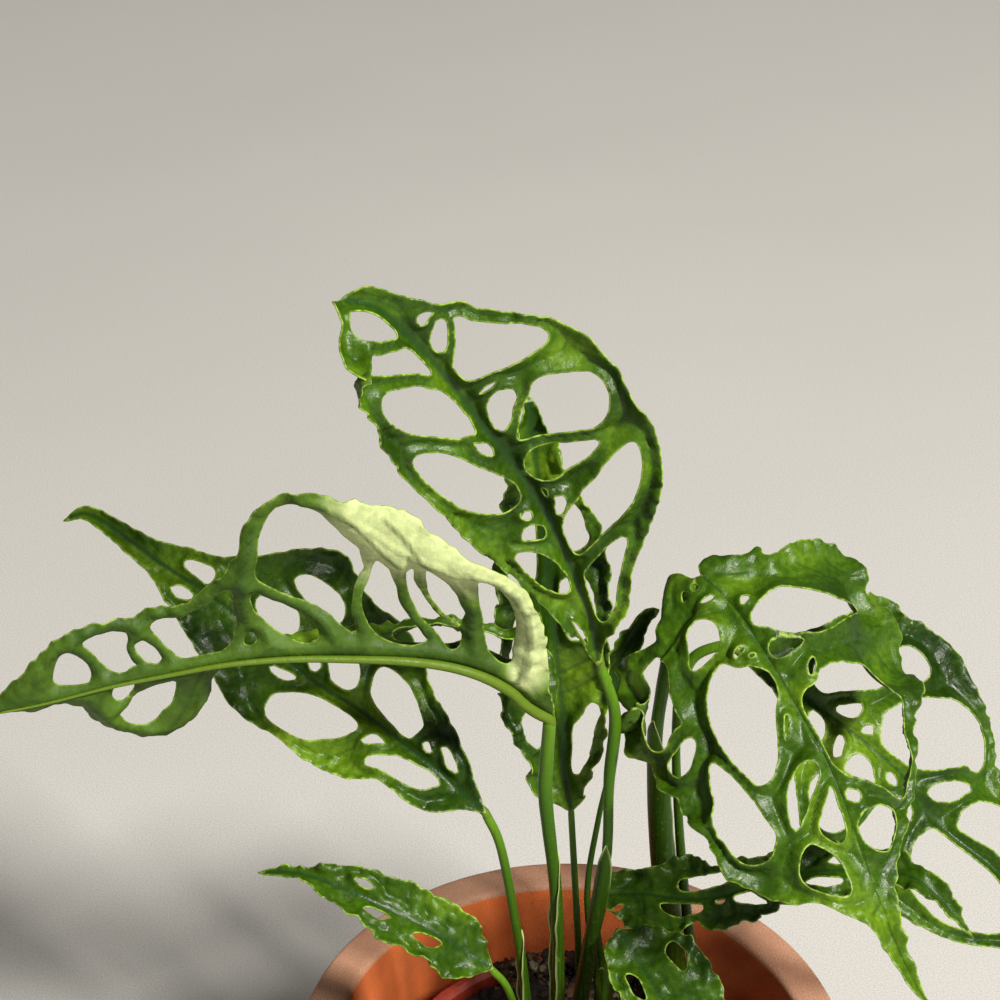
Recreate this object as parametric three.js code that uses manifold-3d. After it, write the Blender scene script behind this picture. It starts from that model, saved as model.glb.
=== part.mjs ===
// A potted Monstera obliqua of the Peruvian, many-holed kind: ten lacy leaves on long stalks,
// two short stems in potting mix, a soft nursery pot and a thick-walled terracotta pot.
// Millimetres, +Z up, the origin at the middle of the pot's foot.
import * as THREE from "three";
import { mergeVertices } from "three/addons/utils/BufferGeometryUtils.js";
import Module from "manifold-3d";

const wasm = await Module();
wasm.setup();

// Driving dimensions
const POT_HEIGHT = 135;
const POT_RIM_RADIUS = 75;
const POT_RIM_WIDTH = 11;
const POT_FOOT_RADIUS = 53;
const POT_FLOOR = 12;
const POT_DRAINS = { radius: 5, reach: 22, count: 3 };
const GAP = 0.3; // between any two pieces that touch
const NURSERY_RIM_RADIUS = 50;
const NURSERY_RIM_TOP = POT_HEIGHT - 12;
const NURSERY_FOOT_RADIUS = 37;
const NURSERY_WALL = 1.5;
const NURSERY_LIP_WIDTH = 3;
const NURSERY_LIP_DROP = 4.5; // how far the rolled lip hangs down
const NURSERY_DRAINS = { radius: 4, reach: 22, count: 6 };
const SOIL_TOP = POT_HEIGHT - 15;
const SOIL_MOUND = 1.5; // how much higher the mix is in the middle
const STEM_BURIED = 16;
const BLADE_THICKNESS = 0.8;
const LEAF_SEAT = 0.7;
const SHEATH_WALL = 0.9;
const SHEATH_PROUD = 0.15; // how far the sheath's back stands out from the stalk it grows from
const ROUND_SIDES = 40;
const STALK_SIDES = 7;
const STALK_STEP = 8; // length of stalk between two of its rings
const SMALLEST_HOLE = 9; // square millimetres; the blades are left whole at smaller holes

const COLOURS = {
  terracotta: 0xc4764a,
  nursery: 0xa8341f,
  mix: 0x2c1a10,
  perlite: 0xb9b79c,
  bark: 0x5a3a22,
  pebble: 0x6f675a,
  stem: 0x6b7a2c,
  petiole: 0x8aa83a,
  blade: 0x3f7d1c,
};

// Each leaf is drawn flat, x along its midrib from the stalk and y across it, left side positive,
// and is then bent in space. rib: the midrib's way. face: which way the upper side looks, from
// base to tip. lift and curl: how each half rises from the midrib and bends across its width,
// in degrees, from base to tip. wave: height, length and start of the ruffle.
// right holds distances to the right of the midrib; holes are closed outlines.
const LEAVES = {
  tall: {
    rib: [[5, 4, 260], [1, 2, 280], [-10, 0, 311], [-24, -2, 335], [-35, -5, 355], [-44, -9, 370],
      [-52, -14, 374]],
    face: [[-0.2, -1, 0.3], [-0.1, -1, 0.5], [-0.2, -1, 0.9]],
    half: 32,
    lift: { left: [15, 15], right: [5, 10] },
    curl: { left: [0, 0], right: [0, 0] },
    wave: [1.0, 17, 0.4],
    left: [[0, 0], [4, 1.5], [9, 3], [16, 6], [23, 8], [29, 10], [38, 13], [50, 17], [60, 19], [72, 20],
      [82, 21], [93, 21], [104, 19.5], [112, 18], [121, 15], [129, 11], [133, 5], [133, 0]],
    right: [[0, 0], [8, 2], [14, 6], [19, 10], [27, 13], [34, 17], [43, 24], [51, 29], [60, 32], [69, 32],
      [78, 32], [86, 31], [94, 28], [100, 24], [105, 18], [110, 12], [116, 7], [122, 3.5], [128, 2],
      [133, 0]],
    holes: [
      [[115, 3], [122, 3], [129, 3], [130, 6], [128, 8], [122, 9], [117, 6]],
      [[110, 12], [108, 6], [103, 2], [98, 2], [103, 8]],
      [[104, 15], [98, 7], [92, 4], [83, 2], [79, 2], [82, 6], [90, 13], [98, 16]],
      [[78, 4], [75, 2], [72, 2], [75, 4]],
      [[84, 16], [79, 10], [70, 6], [62, 3], [57, 4], [57, 8], [63, 13], [73, 17], [80, 18]],
      [[54, 5], [53, 3], [51, 3], [52, 5]],
      [[50, 6], [49, 3], [45, 2], [45, 4], [47, 7]],
      [[44, 10], [40, 5], [32, 2], [27, 2], [30, 6], [38, 10]],
      [[18, 4], [13, 2], [8, 1.5], [11, 3]],
      [[118, -2], [115, -4], [114, -3], [116, -2]],
      [[114, -4], [113, -6], [111, -5], [110, -3]],
      [[109, -7], [106, -7], [102, -4], [102, -2], [106, -3]],
      [[106, -9], [100, -6], [94, -4], [92, -9], [91, -17], [91, -23], [96, -22], [99, -18], [103, -13]],
      [[89, -5], [90, -9], [88, -8], [87, -4]],
      [[86, -8], [84, -10], [79, -8], [76, -3], [79, -2], [84, -5]],
      [[80, -12], [83, -17], [80, -23], [75, -27], [70, -27], [67, -24], [66, -19], [68, -10], [71, -5],
        [74, -6]],
      [[67, -5], [66, -9], [64, -15], [62, -19], [60, -15], [59, -10], [58, -5], [60, -2], [64, -2]],
      [[57, -2], [56, -3], [54, -2], [55, -1.5]],
      [[54, -4], [52, -6], [49, -4], [49, -2], [52, -3]],
      [[47, -3], [51, -8], [54, -14], [57, -20], [58, -26], [54, -25], [49, -21], [44, -15], [39, -8],
        [37, -3], [41, -2]],
      [[38, -15], [33, -13], [27, -10], [20, -7], [16, -4], [17, -2], [24, -2], [30, -3], [34, -7],
        [37, -11]],
    ],
  },
  arching: {
    rib: [[-6, -6, 254], [-15, -7, 267], [-31, -9, 276], [-57, -12, 280], [-77, -15, 281],
      [-102, -18, 277], [-124, -22, 273], [-137, -25, 272]],
    face: [[0.2, 0.9, 0.5], [0, 1, 0.1], [0, 1, 0.1], [0, 1, 0.1]],
    half: 40,
    lift: { left: [10, 10, 5, 0], right: [95, 70, 60, 60, 25, 0, 0] },
    curl: { left: [-20, -20, 0, 0], right: [0, 0] },
    wave: [0.6, 19, 1.1],
    left: [[0, 0], [3, 7], [10, 15], [18, 21], [28, 28], [40, 35], [50, 40], [60, 43], [70, 43], [77, 39],
      [83, 30], [87, 22], [94, 16], [104, 15], [114, 17], [122, 16], [130, 12], [137, 6], [143, 0]],
    right: [[0, 0], [2, 6], [8, 12], [18, 15], [35, 20], [55, 23], [72, 25], [84, 25], [94, 25],
      [102, 27], [110, 24], [117, 18], [121, 12], [124, 7], [128, 4], [135, 3], [143, 0]],
    holes: [
      [[76, 36], [70, 39], [64, 32], [60, 23], [59, 10], [61, 3], [70, 2.5], [81, 3], [83, 9], [80, 20],
        [79, 30]],
      [[55, 23], [52, 21], [49, 15], [44, 5], [48, 3], [55, 3], [57, 12]],
      [[47, 19], [45, 18], [42, 11], [36, 4], [40, 3], [45, 9]],
      [[44, 23], [38, 21], [34, 14], [32, 7], [34, 5], [38, 10], [42, 16]],
      [[30, 17], [25, 16], [20, 11], [17, 5], [21, 3], [26, 8]],
      [[128, 8], [125, 10], [121, 10], [118, 6], [119, 3], [123, 2.5], [127, 4]],
      [[116, 14], [112, 15], [107, 12], [107, 7], [112, 3], [116, 6]],
      [[103, 10], [100, 9], [98, 3], [102, 2.5]],
      [[95, 13], [93, 10], [92, 4], [95, 4], [98, 11]],
      [[115, -3], [111, -3], [111, -6], [113, -8], [116, -6]],
      [[113, -11], [108, -7], [103, -9], [103, -16], [108, -20], [113, -16]],
      [[14, -5], [12, -8], [19, -12], [26, -12], [24, -6]],
      [[34, -5], [30, -10], [34, -16], [44, -17], [46, -12], [42, -6]],
      [[54, -5], [51, -12], [54, -18], [63, -20], [66, -13], [62, -5]],
      [[74, -4], [71, -11], [75, -20], [84, -19], [86, -11], [82, -4]],
    ],
  },
  left: {
    rib: [[-23, 0, 218], [-38, 8, 228], [-53, 18, 235], [-71, 28, 242], [-90, 38, 255], [-108, 47, 263],
      [-125, 56, 271], [-134, 58, 268]],
    face: [[-0.2, -0.6, 0.8], [-0.2, -0.6, 0.8]],
    half: 28,
    lift: { left: [5, 5], right: [10, 10] },
    curl: { left: [-15, -10], right: [0, 0] },
    wave: [1.0, 16, 0],
    left: [[0, 0], [5, 3], [10, 8], [18, 11], [26, 11], [34, 16], [44, 18], [56, 17], [66, 18], [77, 15],
      [88, 12], [98, 8], [106, 4], [114, 3], [126, 2], [132, 1.4], [138, 0]],
    right: [[0, 0], [5, 3], [12, 7], [20, 11], [30, 15], [36, 20], [44, 24], [54, 25], [64, 28], [72, 30],
      [79, 25], [85, 17], [92, 10], [100, 7.5], [110, 4], [122, 2], [131, 1.4], [138, 0]],
    holes: [
      [[100, -3], [99, -5], [93, -6], [93, -2]],
      [[100, 4], [97, 2], [94, 3], [97, 5]],
      [[66, 4], [63, 2.5], [60, 2], [62, 4]],
      [[60, 14], [61, 9], [57, 5], [50, 3], [42, 3], [39, 5], [44, 10], [50, 14], [56, 15]],
      [[36, 6], [34, 3], [31, 3], [33, 5]],
      [[31, 10], [31, 7], [26, 4], [20, 2], [14, 2], [17, 6], [22, 8], [27, 9]],
      [[66, -2], [64, -5], [62, -4], [63, -2]],
      [[60, -3], [59, -6], [56, -4], [57, -2]],
      [[56, -7], [53, -11], [49, -10], [46, -6], [47, -3], [52, -3]],
      [[42, -12], [42, -7], [39, -4], [32, -2], [27, -2], [26, -6], [30, -9], [36, -12]],
      [[23, -3], [22, -4], [20, -3], [21, -2]],
      [[19, -5], [17, -6], [14, -5], [12, -3], [15, -3]],
      [[76, -17], [74, -20], [69, -21], [64, -21], [60, -19], [59, -16], [64, -15], [71, -15]],
      [[80, -7], [76, -11], [70, -10], [67, -5], [72, -3], [77, -4]],
    ],
  },
  back: {
    rib: [[-1, 12, 208], [-3, 14, 220], [-3, 17, 232], [-4, 19, 242], [-6, 22, 262], [-8, 26, 283],
      [-10, 30, 301], [-12, 34, 319]],
    face: [[0, -1, 0.2], [0.3, -1, 0.2]],
    half: 24,
    lift: { left: [30, 30], right: [30, 30] },
    curl: { left: [0, 0], right: [0, 0] },
    wave: [1.4, 13, 0],
    left: [[0, 0], [4, 4], [8, 8], [16, 11], [24, 15], [32, 17], [44, 18], [56, 18], [70, 17], [84, 13],
      [98, 8], [107, 4], [114, 0]],
    right: [[0, 0], [4, 4], [9, 6], [16, 9], [24, 11], [34, 13], [46, 14], [60, 15], [72, 15], [84, 13],
      [96, 7], [106, 3], [114, 0]],
    holes: [
      [[24, -2], [28, -5], [32, -8], [30, -10], [24, -8], [18, -7], [13, -5], [12, -2], [18, -2]],
      [[32, 12], [34, 8], [29, 6], [22, 6], [21, 9], [26, 12]],
      [[92, -3], [90, -7], [84, -10], [76, -10], [74, -4], [82, -2]],
      [[66, -3], [66, -9], [58, -11], [52, -10], [50, -4], [58, -2]],
      [[86, 3], [84, 8], [76, 12], [68, 12], [66, 6], [74, 3]],
      [[58, 4], [60, 10], [54, 14], [46, 14], [42, 8], [48, 4]],
    ],
  },
  nodding: {
    rib: [[30, 20, 277], [35, 14, 276], [41, 6, 272], [51, -8, 261], [60, -22, 250], [69, -36, 231],
      [79, -48, 210], [86, -52, 200]],
    face: [[-0.2, -0.5, 0.9], [0.1, -0.4, 0.9], [0.5, -0.6, 0.7]],
    half: 36,
    lift: { left: [-5, -10], right: [-10, -15] },
    curl: { left: [-40, -30], right: [-40, -40] },
    wave: [1.2, 15, 0.8],
    left: [[0, 0], [1.5, 4], [-2, 8], [0, 14], [5, 24], [8, 34], [14, 41], [22, 43], [30, 44], [38, 45],
      [46, 41], [52, 34], [59, 29], [68, 25], [76, 19], [83, 12], [89, 6], [97, 3], [108, 2], [123, 0]],
    right: [[0, 0], [1.5, 4], [-3, 10], [-5, 20], [-4, 32], [2, 40], [14, 43], [28, 45], [40, 43],
      [52, 40], [64, 36], [74, 33], [82, 27], [88, 18], [92, 11], [98, 6], [110, 3], [123, 0]],
    holes: [
      [[17, 3], [14, 9], [15, 15], [18, 22], [23, 27], [27, 30], [29, 22], [28, 10], [23, 4]],
      [[34, 7], [33, 10], [35, 10], [36, 7]],
      [[40, 6], [37, 12], [39, 19], [43, 27], [50, 28], [58, 24], [66, 19], [69, 13], [65, 8], [60, 5],
        [52, 3], [44, 3]],
      [[64, 2], [66, 4], [68, 3], [66, 1.5]],
      [[71, 3], [71, 6], [73, 11], [77, 12], [81, 7], [79, 3], [75, 2]],
      [[11, -13], [9, -10], [12, -8], [16, -8], [19, -11], [19, -17], [15, -18]],
      [[21, -6], [23, -4], [26, -5], [24, -8]],
      [[28, -5], [30, -3], [34, -3], [40, -5], [47, -9], [54, -15], [53, -19], [48, -20], [42, -21],
        [36, -20], [31, -16], [28, -11]],
      [[55, -4], [57, -9], [64, -13], [69, -13], [64, -8], [60, -5]],
      [[74, -12], [77, -8], [82, -7], [87, -8], [84, -14], [79, -16]],
      [[3, -22], [14, -25], [26, -28], [33, -30], [32, -35], [28, -38], [20, -37], [9, -34], [3, -28]],
      [[36, -30], [40, -33], [39, -37], [35, -35]],
      [[44, -27], [50, -25], [57, -23], [63, -22], [68, -20], [73, -22], [77, -26], [74, -29], [70, -28],
        [64, -31], [55, -34], [47, -33]],
    ],
  },
  right: {
    rib: [[41, 26, 250], [57, 24, 238], [68, 22, 230], [84, 18, 217], [95, 14, 203], [111, 8, 191],
      [129, 2, 171]],
    face: [[0, -0.6, 0.8], [0.3, -0.6, 0.7]],
    half: 32,
    lift: { left: [0, 0], right: [0, 0] },
    curl: { left: [-20, -20], right: [-20, -20] },
    wave: [1.0, 18, 0],
    left: [[0, 0], [4, 14], [12, 26], [22, 35], [34, 39], [46, 39], [56, 36], [66, 32], [76, 27],
      [86, 22], [96, 16], [108, 9], [121, 0]],
    right: [[0, 0], [6, 10], [16, 20], [30, 26], [44, 28], [58, 28], [70, 27], [84, 25], [96, 22],
      [107, 15], [121, 0]],
    holes: [
      [[12, 5], [14, 14], [22, 22], [26, 14], [20, 6]],
      [[29, 11], [29, 20], [34, 30], [38, 21], [35, 12]],
      [[41, 28], [44, 33], [47, 30], [47, 24], [44, 22]],
      [[50, 17], [53, 25], [58, 28], [66, 27], [69, 18], [62, 7], [55, 6]],
      [[67, 5], [69, 10], [76, 15], [77, 10], [72, 5]],
      [[80, 4], [81, 10], [87, 14], [93, 6], [85, 3]],
      [[32, 3], [34, 6], [38, 6], [36, 3]],
      [[41, 3], [42, 6], [45, 5], [43, 3]],
      [[24, -5], [22, -12], [28, -20], [34, -18], [34, -8]],
      [[42, -5], [39, -12], [42, -22], [50, -23], [51, -12], [48, -5]],
      [[59, -5], [56, -12], [59, -22], [67, -22], [69, -10], [65, -4]],
      [[77, -4], [76, -10], [80, -18], [90, -20], [101, -15], [106, -8], [98, -4], [86, -3]],
    ],
  },
  low_right: {
    rib: [[6, 10, 181], [17, 8, 184], [33, 2, 188], [56, -6, 204], [77, -12, 210], [87, -18, 210],
      [99, -24, 198]],
    face: [[-0.2, -0.5, 0.8], [0.1, -0.4, 0.9]],
    half: 22,
    lift: { left: [0, 0], right: [0, 0] },
    curl: { left: [0, 0], right: [0, 0] },
    wave: [0.8, 12, 0],
    left: [[0, 0], [2, 4], [6, 6], [12, 7], [18, 10], [24, 11], [30, 9], [36, 7], [46, 7], [58, 7],
      [70, 6], [82, 5], [96, 3], [104, 1.5], [111, 0]],
    right: [[0, 0], [2, 6], [8, 10], [14, 11], [22, 10], [28, 8], [36, 9], [46, 10], [56, 8], [66, 7],
      [78, 6], [92, 3], [102, 1.5], [111, 0]],
    holes: [
      [[22, 3], [24, 6], [32, 5], [39, 3], [30, 2]],
      [[17, -3], [22, -5], [28, -4], [29, -2], [22, -2]],
      [[60, -3], [64, -2], [70, -3], [66, -5]],
      [[46, 2], [50, 5], [56, 4], [54, 2]],
      [[44, -3], [50, -6], [54, -4], [50, -2]],
      [[66, 2], [72, 4], [76, 3], [72, 1.5]],
    ],
  },
  low_left: {
    rib: [[-21, -12, 176], [-35, -12, 189], [-50, -10, 197], [-58, -8, 200], [-70, -4, 202],
      [-82, 0, 199]],
    face: [[-0.2, -0.4, 0.9], [-0.2, -0.4, 0.9]],
    half: 14,
    lift: { left: [10, 10], right: [10, 10] },
    curl: { left: [0, 0], right: [0, 0] },
    wave: [0.8, 9, 0],
    left: [[0, 0], [4, 4], [10, 8], [18, 9], [26, 9], [34, 9], [42, 7], [52, 4], [62, 1.5], [70, 0]],
    right: [[0, 0], [4, 4], [10, 7], [18, 8], [28, 8], [38, 7], [48, 6], [58, 4], [66, 2], [70, 0]],
    holes: [
      [[44, -3], [42, -4], [39, -3], [41, -2]],
      [[39, 3], [36, 1.5], [32, 2], [35, 4]],
      [[25, 4], [22, 2], [17, 2], [20, 5]],
    ],
  },
  front: {
    rib: [[11, -6, 184], [16, -14, 181], [22, -24, 177], [28, -38, 170], [32, -48, 161]],
    face: [[-0.1, -0.3, 0.9], [0, -0.5, 0.8]],
    half: 16,
    lift: { left: [8, 8], right: [8, 8] },
    curl: { left: [-20, -20], right: [-20, -20] },
    wave: [0.8, 10, 0],
    left: [[0, 0], [3, 7], [8, 12], [16, 15], [26, 15], [36, 12], [45, 6], [51, 0]],
    right: [[0, 0], [2, 5], [8, 8], [16, 9], [26, 9], [36, 7], [45, 4], [51, 0]],
    holes: [
      [[14, -3], [12, -5], [17, -6], [20, -4]],
      [[12, 7], [10, 10], [15, 11], [18, 8]],
    ],
  },
  newest: {
    rib: [[10, 24, 234], [11, 26, 244], [14, 28, 251], [17, 29, 257], [21, 30, 259]],
    face: [[0.2, -1, 0.4], [0.2, -1, 0.8]],
    half: 5,
    lift: { left: [30, 30], right: [30, 30] },
    curl: { left: [0, 0], right: [0, 0] },
    wave: [0.3, 8, 0],
    left: [[0, 0], [4, 2], [10, 3.5], [18, 3.5], [24, 2], [30, 0]],
    right: [[0, 0], [4, 2], [10, 3.5], [18, 3], [24, 1.5], [30, 0]],
    holes: [],
  },
};

// Each stalk: its way from the mix to the leaf, its radii from foot to leaf, and its sheath, if
// it has one: how far up it ends, its radius, and the side on which it is open. seat is how far
// a stalk's middle line stops short of its blade's, where this isn't LEAF_SEAT.
const PETIOLES = {
  tall: {
    way: [[1, -1, 127], [2, 0, 153], [7, 0, 196], [8, 1, 208], [8, 3, 226], [9, 4, 246], [5, 4, 260]],
    radii: [2.2, 1.7, 1.4, 1.3, 1.3, 1.7, 1.3],
    seat: 0.35,
    sheath: { top: 0.6, radius: 3.2, open: [0.3, 1, 0] },
  },
  arching: {
    way: [[-3, -5, 127], [-4, -5, 157], [-5, -5, 193], [-8, -6, 227], [-8, -6, 238], [-6, -6, 254]],
    radii: [2.2, 1.9, 1.7, 1.7, 1.95, 1.6],
    sheath: { top: 0.52, radius: 2.8, open: [1, 0.3, 0] },
  },
  left: {
    way: [[-11.8, -1.5, 121.5], [-12, -2, 137], [-12.5, -3, 156], [-15, -2, 180], [-19, 0, 206],
      [-23, 0, 218]],
    radii: [2, 1.7, 1.4, 1.3, 1.3, 1.2],
    sheath: { top: 0.45, radius: 2.4, open: [1, 0, 0] },
  },
  back: {
    way: [[1, 4.5, 127], [2, 6, 150], [1, 6, 174], [-1, 12, 208]],
    radii: [1.3, 1, 0.9, 0.85],
    seat: 0.35,
  },
  nodding: {
    way: [[30.5, 22, 127], [28, 23, 145], [23, 24, 184], [21, 24, 219], [22, 24, 238], [24, 22, 256],
      [27, 20, 272], [30, 20, 277]],
    radii: [2.6, 2.3, 2, 1.8, 1.7, 1.7, 1.9, 1.5],
    seat: 1.1,
    sheath: { top: 0.68, radius: 3.4, open: [1, 1, 0] },
  },
  right: {
    way: [[37.5, 16.5, 121.5], [35.5, 20.5, 135], [31.5, 28, 160], [28, 29, 195], [26.5, 28.5, 225],
      [29, 29, 243], [36, 27, 250], [41, 26, 250]],
    radii: [1.8, 1.6, 1.5, 1.3, 1.2, 1.2, 1.5, 1.3],
  },
  low_right: {
    way: [[9.5, 6, 121.5], [9, 9, 145], [6, 10, 172], [6, 10, 181]],
    radii: [1.6, 1.3, 1.1, 1],
    sheath: { top: 0.6, radius: 2.1, open: [0, 1, 0] },
  },
  low_left: {
    way: [[-8, -9, 121.5], [-12, -11, 145], [-17, -12, 168], [-21, -12, 176]],
    radii: [1.5, 1.2, 1, 1],
  },
  front: {
    way: [[5, -12, 121.5], [7, -11, 150], [9, -8, 176], [11, -6, 184]],
    radii: [1.5, 1.2, 1, 1],
    seat: 1.1,
  },
  newest: {
    way: [[6.8, 0, 127], [7, 4.5, 150], [3.5, 7.5, 182], [6, 12, 205], [10, 20, 222], [10, 24, 234]],
    radii: [1.2, 1, 0.9, 0.8, 0.7, 0.7],
  },
};

const STEMS = {
  stem_left: { foot: [0, -1], radius: 8.6, top: 126.4 },
  stem_right: { foot: [31, 21.5], radius: 4, top: 126.4 },
};

// Loose bits that show on the mix: kind, place, size and turn about the upright.
const BITS = [
  ["perlite", [-20, -14], [4.4, 3.4, 2.8], 20],
  ["perlite", [14, 24], [3.6, 3.2, 2.6], 70],
  ["perlite", [25, -22], [3.8, 3, 2.4], 130],
  ["bark", [-27, 6], [9, 5, 3], 35],
  ["bark", [-8, 27], [8, 4.5, 2.6], 110],
  ["bark", [19, -10], [7.5, 4.4, 2.6], 160],
  ["pebble", [-16, -27], [6, 5, 3.6], 10],
  ["pebble", [10, -30], [5, 4.4, 3.2], 80],
  ["pebble", [36, 4], [5.4, 4.4, 3.4], 45],
];

const vector = (p) => new THREE.Vector3(p[0], p[1], p[2]);
const curveThrough = (points) => new THREE.CatmullRomCurve3(points.map(vector), false, "catmullrom", 0.5);
const radians = THREE.MathUtils.degToRad;

// The value at u, from 0 to 1, of numbers that stand at even steps, eased between them.
function eased(values, u) {
  const at = THREE.MathUtils.clamp(u, 0, 1) * (values.length - 1);
  const i = Math.min(Math.floor(at), values.length - 2);
  return THREE.MathUtils.lerp(values[i], values[i + 1], THREE.MathUtils.smoothstep(at - i, 0, 1));
}

// A closed solid in manifold-3d's form, from a closed geometry.
function solidOf(geometry) {
  const bare = geometry.clone();
  bare.deleteAttribute("normal");
  bare.deleteAttribute("uv");
  const merged = mergeVertices(bare, 1e-4);
  return new wasm.Manifold(
    new wasm.Mesh({
      numProp: 3,
      vertProperties: merged.attributes.position.array,
      triVerts: new Uint32Array(merged.index.array),
    }),
  );
}

function geometryOf(solid) {
  const mesh = solid.getMesh();
  const geometry = new THREE.BufferGeometry();
  geometry.setAttribute("position", new THREE.BufferAttribute(mesh.vertProperties, 3));
  geometry.setIndex(new THREE.BufferAttribute(mesh.triVerts, 1));
  geometry.computeVertexNormals();
  return geometry;
}

// Rings of points, all alike in number, joined into one closed skin with capped ends.
function skinOver(rings) {
  const count = rings[0].length;
  const positions = rings.flat().flatMap((p) => [p.x, p.y, p.z]);
  const index = [];
  for (let r = 0; r + 1 < rings.length; r++) {
    for (let i = 0; i < count; i++) {
      const a = r * count + i;
      const b = r * count + ((i + 1) % count);
      index.push(a, b, b + count, a, b + count, a + count);
    }
  }
  const last = (rings.length - 1) * count;
  const cap = new THREE.Shape(capOutline(rings[0]));
  for (const [a, b, c] of THREE.ShapeUtils.triangulateShape(cap.getPoints(1), [])) {
    index.push(a, c, b, last + a, last + b, last + c);
  }
  const geometry = new THREE.BufferGeometry();
  geometry.setAttribute("position", new THREE.Float32BufferAttribute(positions, 3));
  geometry.setIndex(index);
  return geometry;
}

// A ring laid flat in its own plane, counter-clockwise, so that its cap can be cut into triangles.
function capOutline(ring) {
  const middle = ring.reduce((sum, p) => sum.add(p), new THREE.Vector3()).divideScalar(ring.length);
  const axis = new THREE.Vector3();
  ring.forEach((p, i) => {
    const q = ring[(i + 1) % ring.length];
    axis.add(p.clone().sub(middle).cross(q.clone().sub(middle)));
  });
  axis.normalize();
  const across = ring[0].clone().sub(middle).normalize();
  const up = axis.clone().cross(across);
  return ring.map((p) => {
    const d = p.clone().sub(middle);
    return new THREE.Vector2(d.dot(across), d.dot(up));
  });
}

// A stalk whose radius changes along its way; it stops just short of the leaf.
function taperedStalk({ way, radii, seat = LEAF_SEAT }) {
  const curve = curveThrough(way);
  const steps = Math.round(curve.getLength() / STALK_STEP);
  const end = 1 - seat / curve.getLength();
  const frames = curve.computeFrenetFrames(steps, false);
  const rings = [];
  for (let i = 0; i <= steps; i++) {
    const u = i / steps;
    const middle = curve.getPointAt(Math.min(u, end));
    const radius = eased(radii, u);
    const ring = [];
    for (let k = 0; k < STALK_SIDES; k++) {
      const turn = (2 * Math.PI * k) / STALK_SIDES;
      ring.push(
        middle
          .clone()
          .addScaledVector(frames.normals[i], radius * Math.cos(turn))
          .addScaledVector(frames.binormals[i], radius * Math.sin(turn)),
      );
    }
    rings.push(ring);
  }
  return skinOver(rings);
}

// The sheath at a stalk's foot: an open half-round wing that narrows to a point.
function sheathAround({ way, radii, sheath: { top, radius, open } }) {
  const curve = curveThrough(way);
  const steps = 10;
  const arcSteps = 6;
  const start = 0.02; // the part of the way below the sheath
  const spread = radians(115); // from the middle of the back to each edge
  const rings = [];
  for (let i = 0; i <= steps; i++) {
    const u = start + ((top - start) * i) / steps;
    const narrowing = Math.sqrt(Math.max(0, 1 - (i / steps) ** 3));
    const middle = curve.getPointAt(u);
    const along = curve.getTangentAt(u);
    const front = vector(open);
    front.addScaledVector(along, -front.dot(along)).normalize();
    const side = along.clone().cross(front);
    const outer = radius * (0.8 + 0.2 * narrowing);
    middle.addScaledVector(front, outer - eased(radii, u) - SHEATH_PROUD);
    const place = (r, angle) =>
      middle
        .clone()
        .addScaledVector(front, -r * Math.cos(angle))
        .addScaledVector(side, -r * Math.sin(angle));
    const half = spread * Math.max(0.12, narrowing);
    const ring = [];
    for (let k = 0; k <= arcSteps; k++) ring.push(place(outer, half * ((2 * k) / arcSteps - 1)));
    const inner = outer - SHEATH_WALL;
    for (let k = arcSteps; k >= 0; k--) ring.push(place(inner, half * ((2 * k) / arcSteps - 1)));
    rings.push(ring);
  }
  return skinOver(rings);
}

// A leaf's bent surface: any flat place on it, x along and y across, gives its point in space.
class LeafSurface {
  constructor(plan) {
    this.plan = plan;
    this.curve = curveThrough(plan.rib);
    this.length = this.curve.getLength();
  }

  at(x, y) {
    const { plan, curve, length } = this;
    const u = THREE.MathUtils.clamp(x / length, 0, 1);
    const along = curve.getTangentAt(u);
    const origin = curve.getPointAt(u).addScaledVector(along, x - u * length);
    const step = u * (plan.face.length - 1);
    const i = Math.min(Math.floor(step), plan.face.length - 2);
    const facing = vector(plan.face[i]).lerp(vector(plan.face[i + 1]), step - i);
    const across = facing.clone().cross(along).normalize();
    const upper = along.clone().cross(across);
    const side = y < 0 ? "right" : "left";
    const lift = radians(eased(plan.lift[side], u));
    const bend = radians(eased(plan.curl[side], u)) / plan.half || 1e-6;
    const reach = Math.abs(y);
    const turn = lift + bend * reach;
    const [height, waveLength, start] = plan.wave;
    const ruffle = height * Math.min(reach / plan.half, 1.3) ** 2
      * Math.sin((2 * Math.PI * x) / waveLength + start + (side === "right" ? 1.9 : 0));
    const out = (Math.sin(turn) - Math.sin(lift)) / bend - ruffle * Math.sin(turn);
    const up = (Math.cos(lift) - Math.cos(turn)) / bend + ruffle * Math.cos(turn);
    return origin.addScaledVector(across, Math.sign(y) * out).addScaledVector(upper, up);
  }

  // Square to the blade; on the midrib, halfway between the two halves.
  normal(x, y) {
    const d = 0.2;
    const alongX = this.at(x + d, y).sub(this.at(x - d, y));
    const alongY = this.at(x, y < 0 ? y : y + d).sub(this.at(x, y > 0 ? y : y - d));
    return alongX.cross(alongY).normalize();
  }
}

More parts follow.
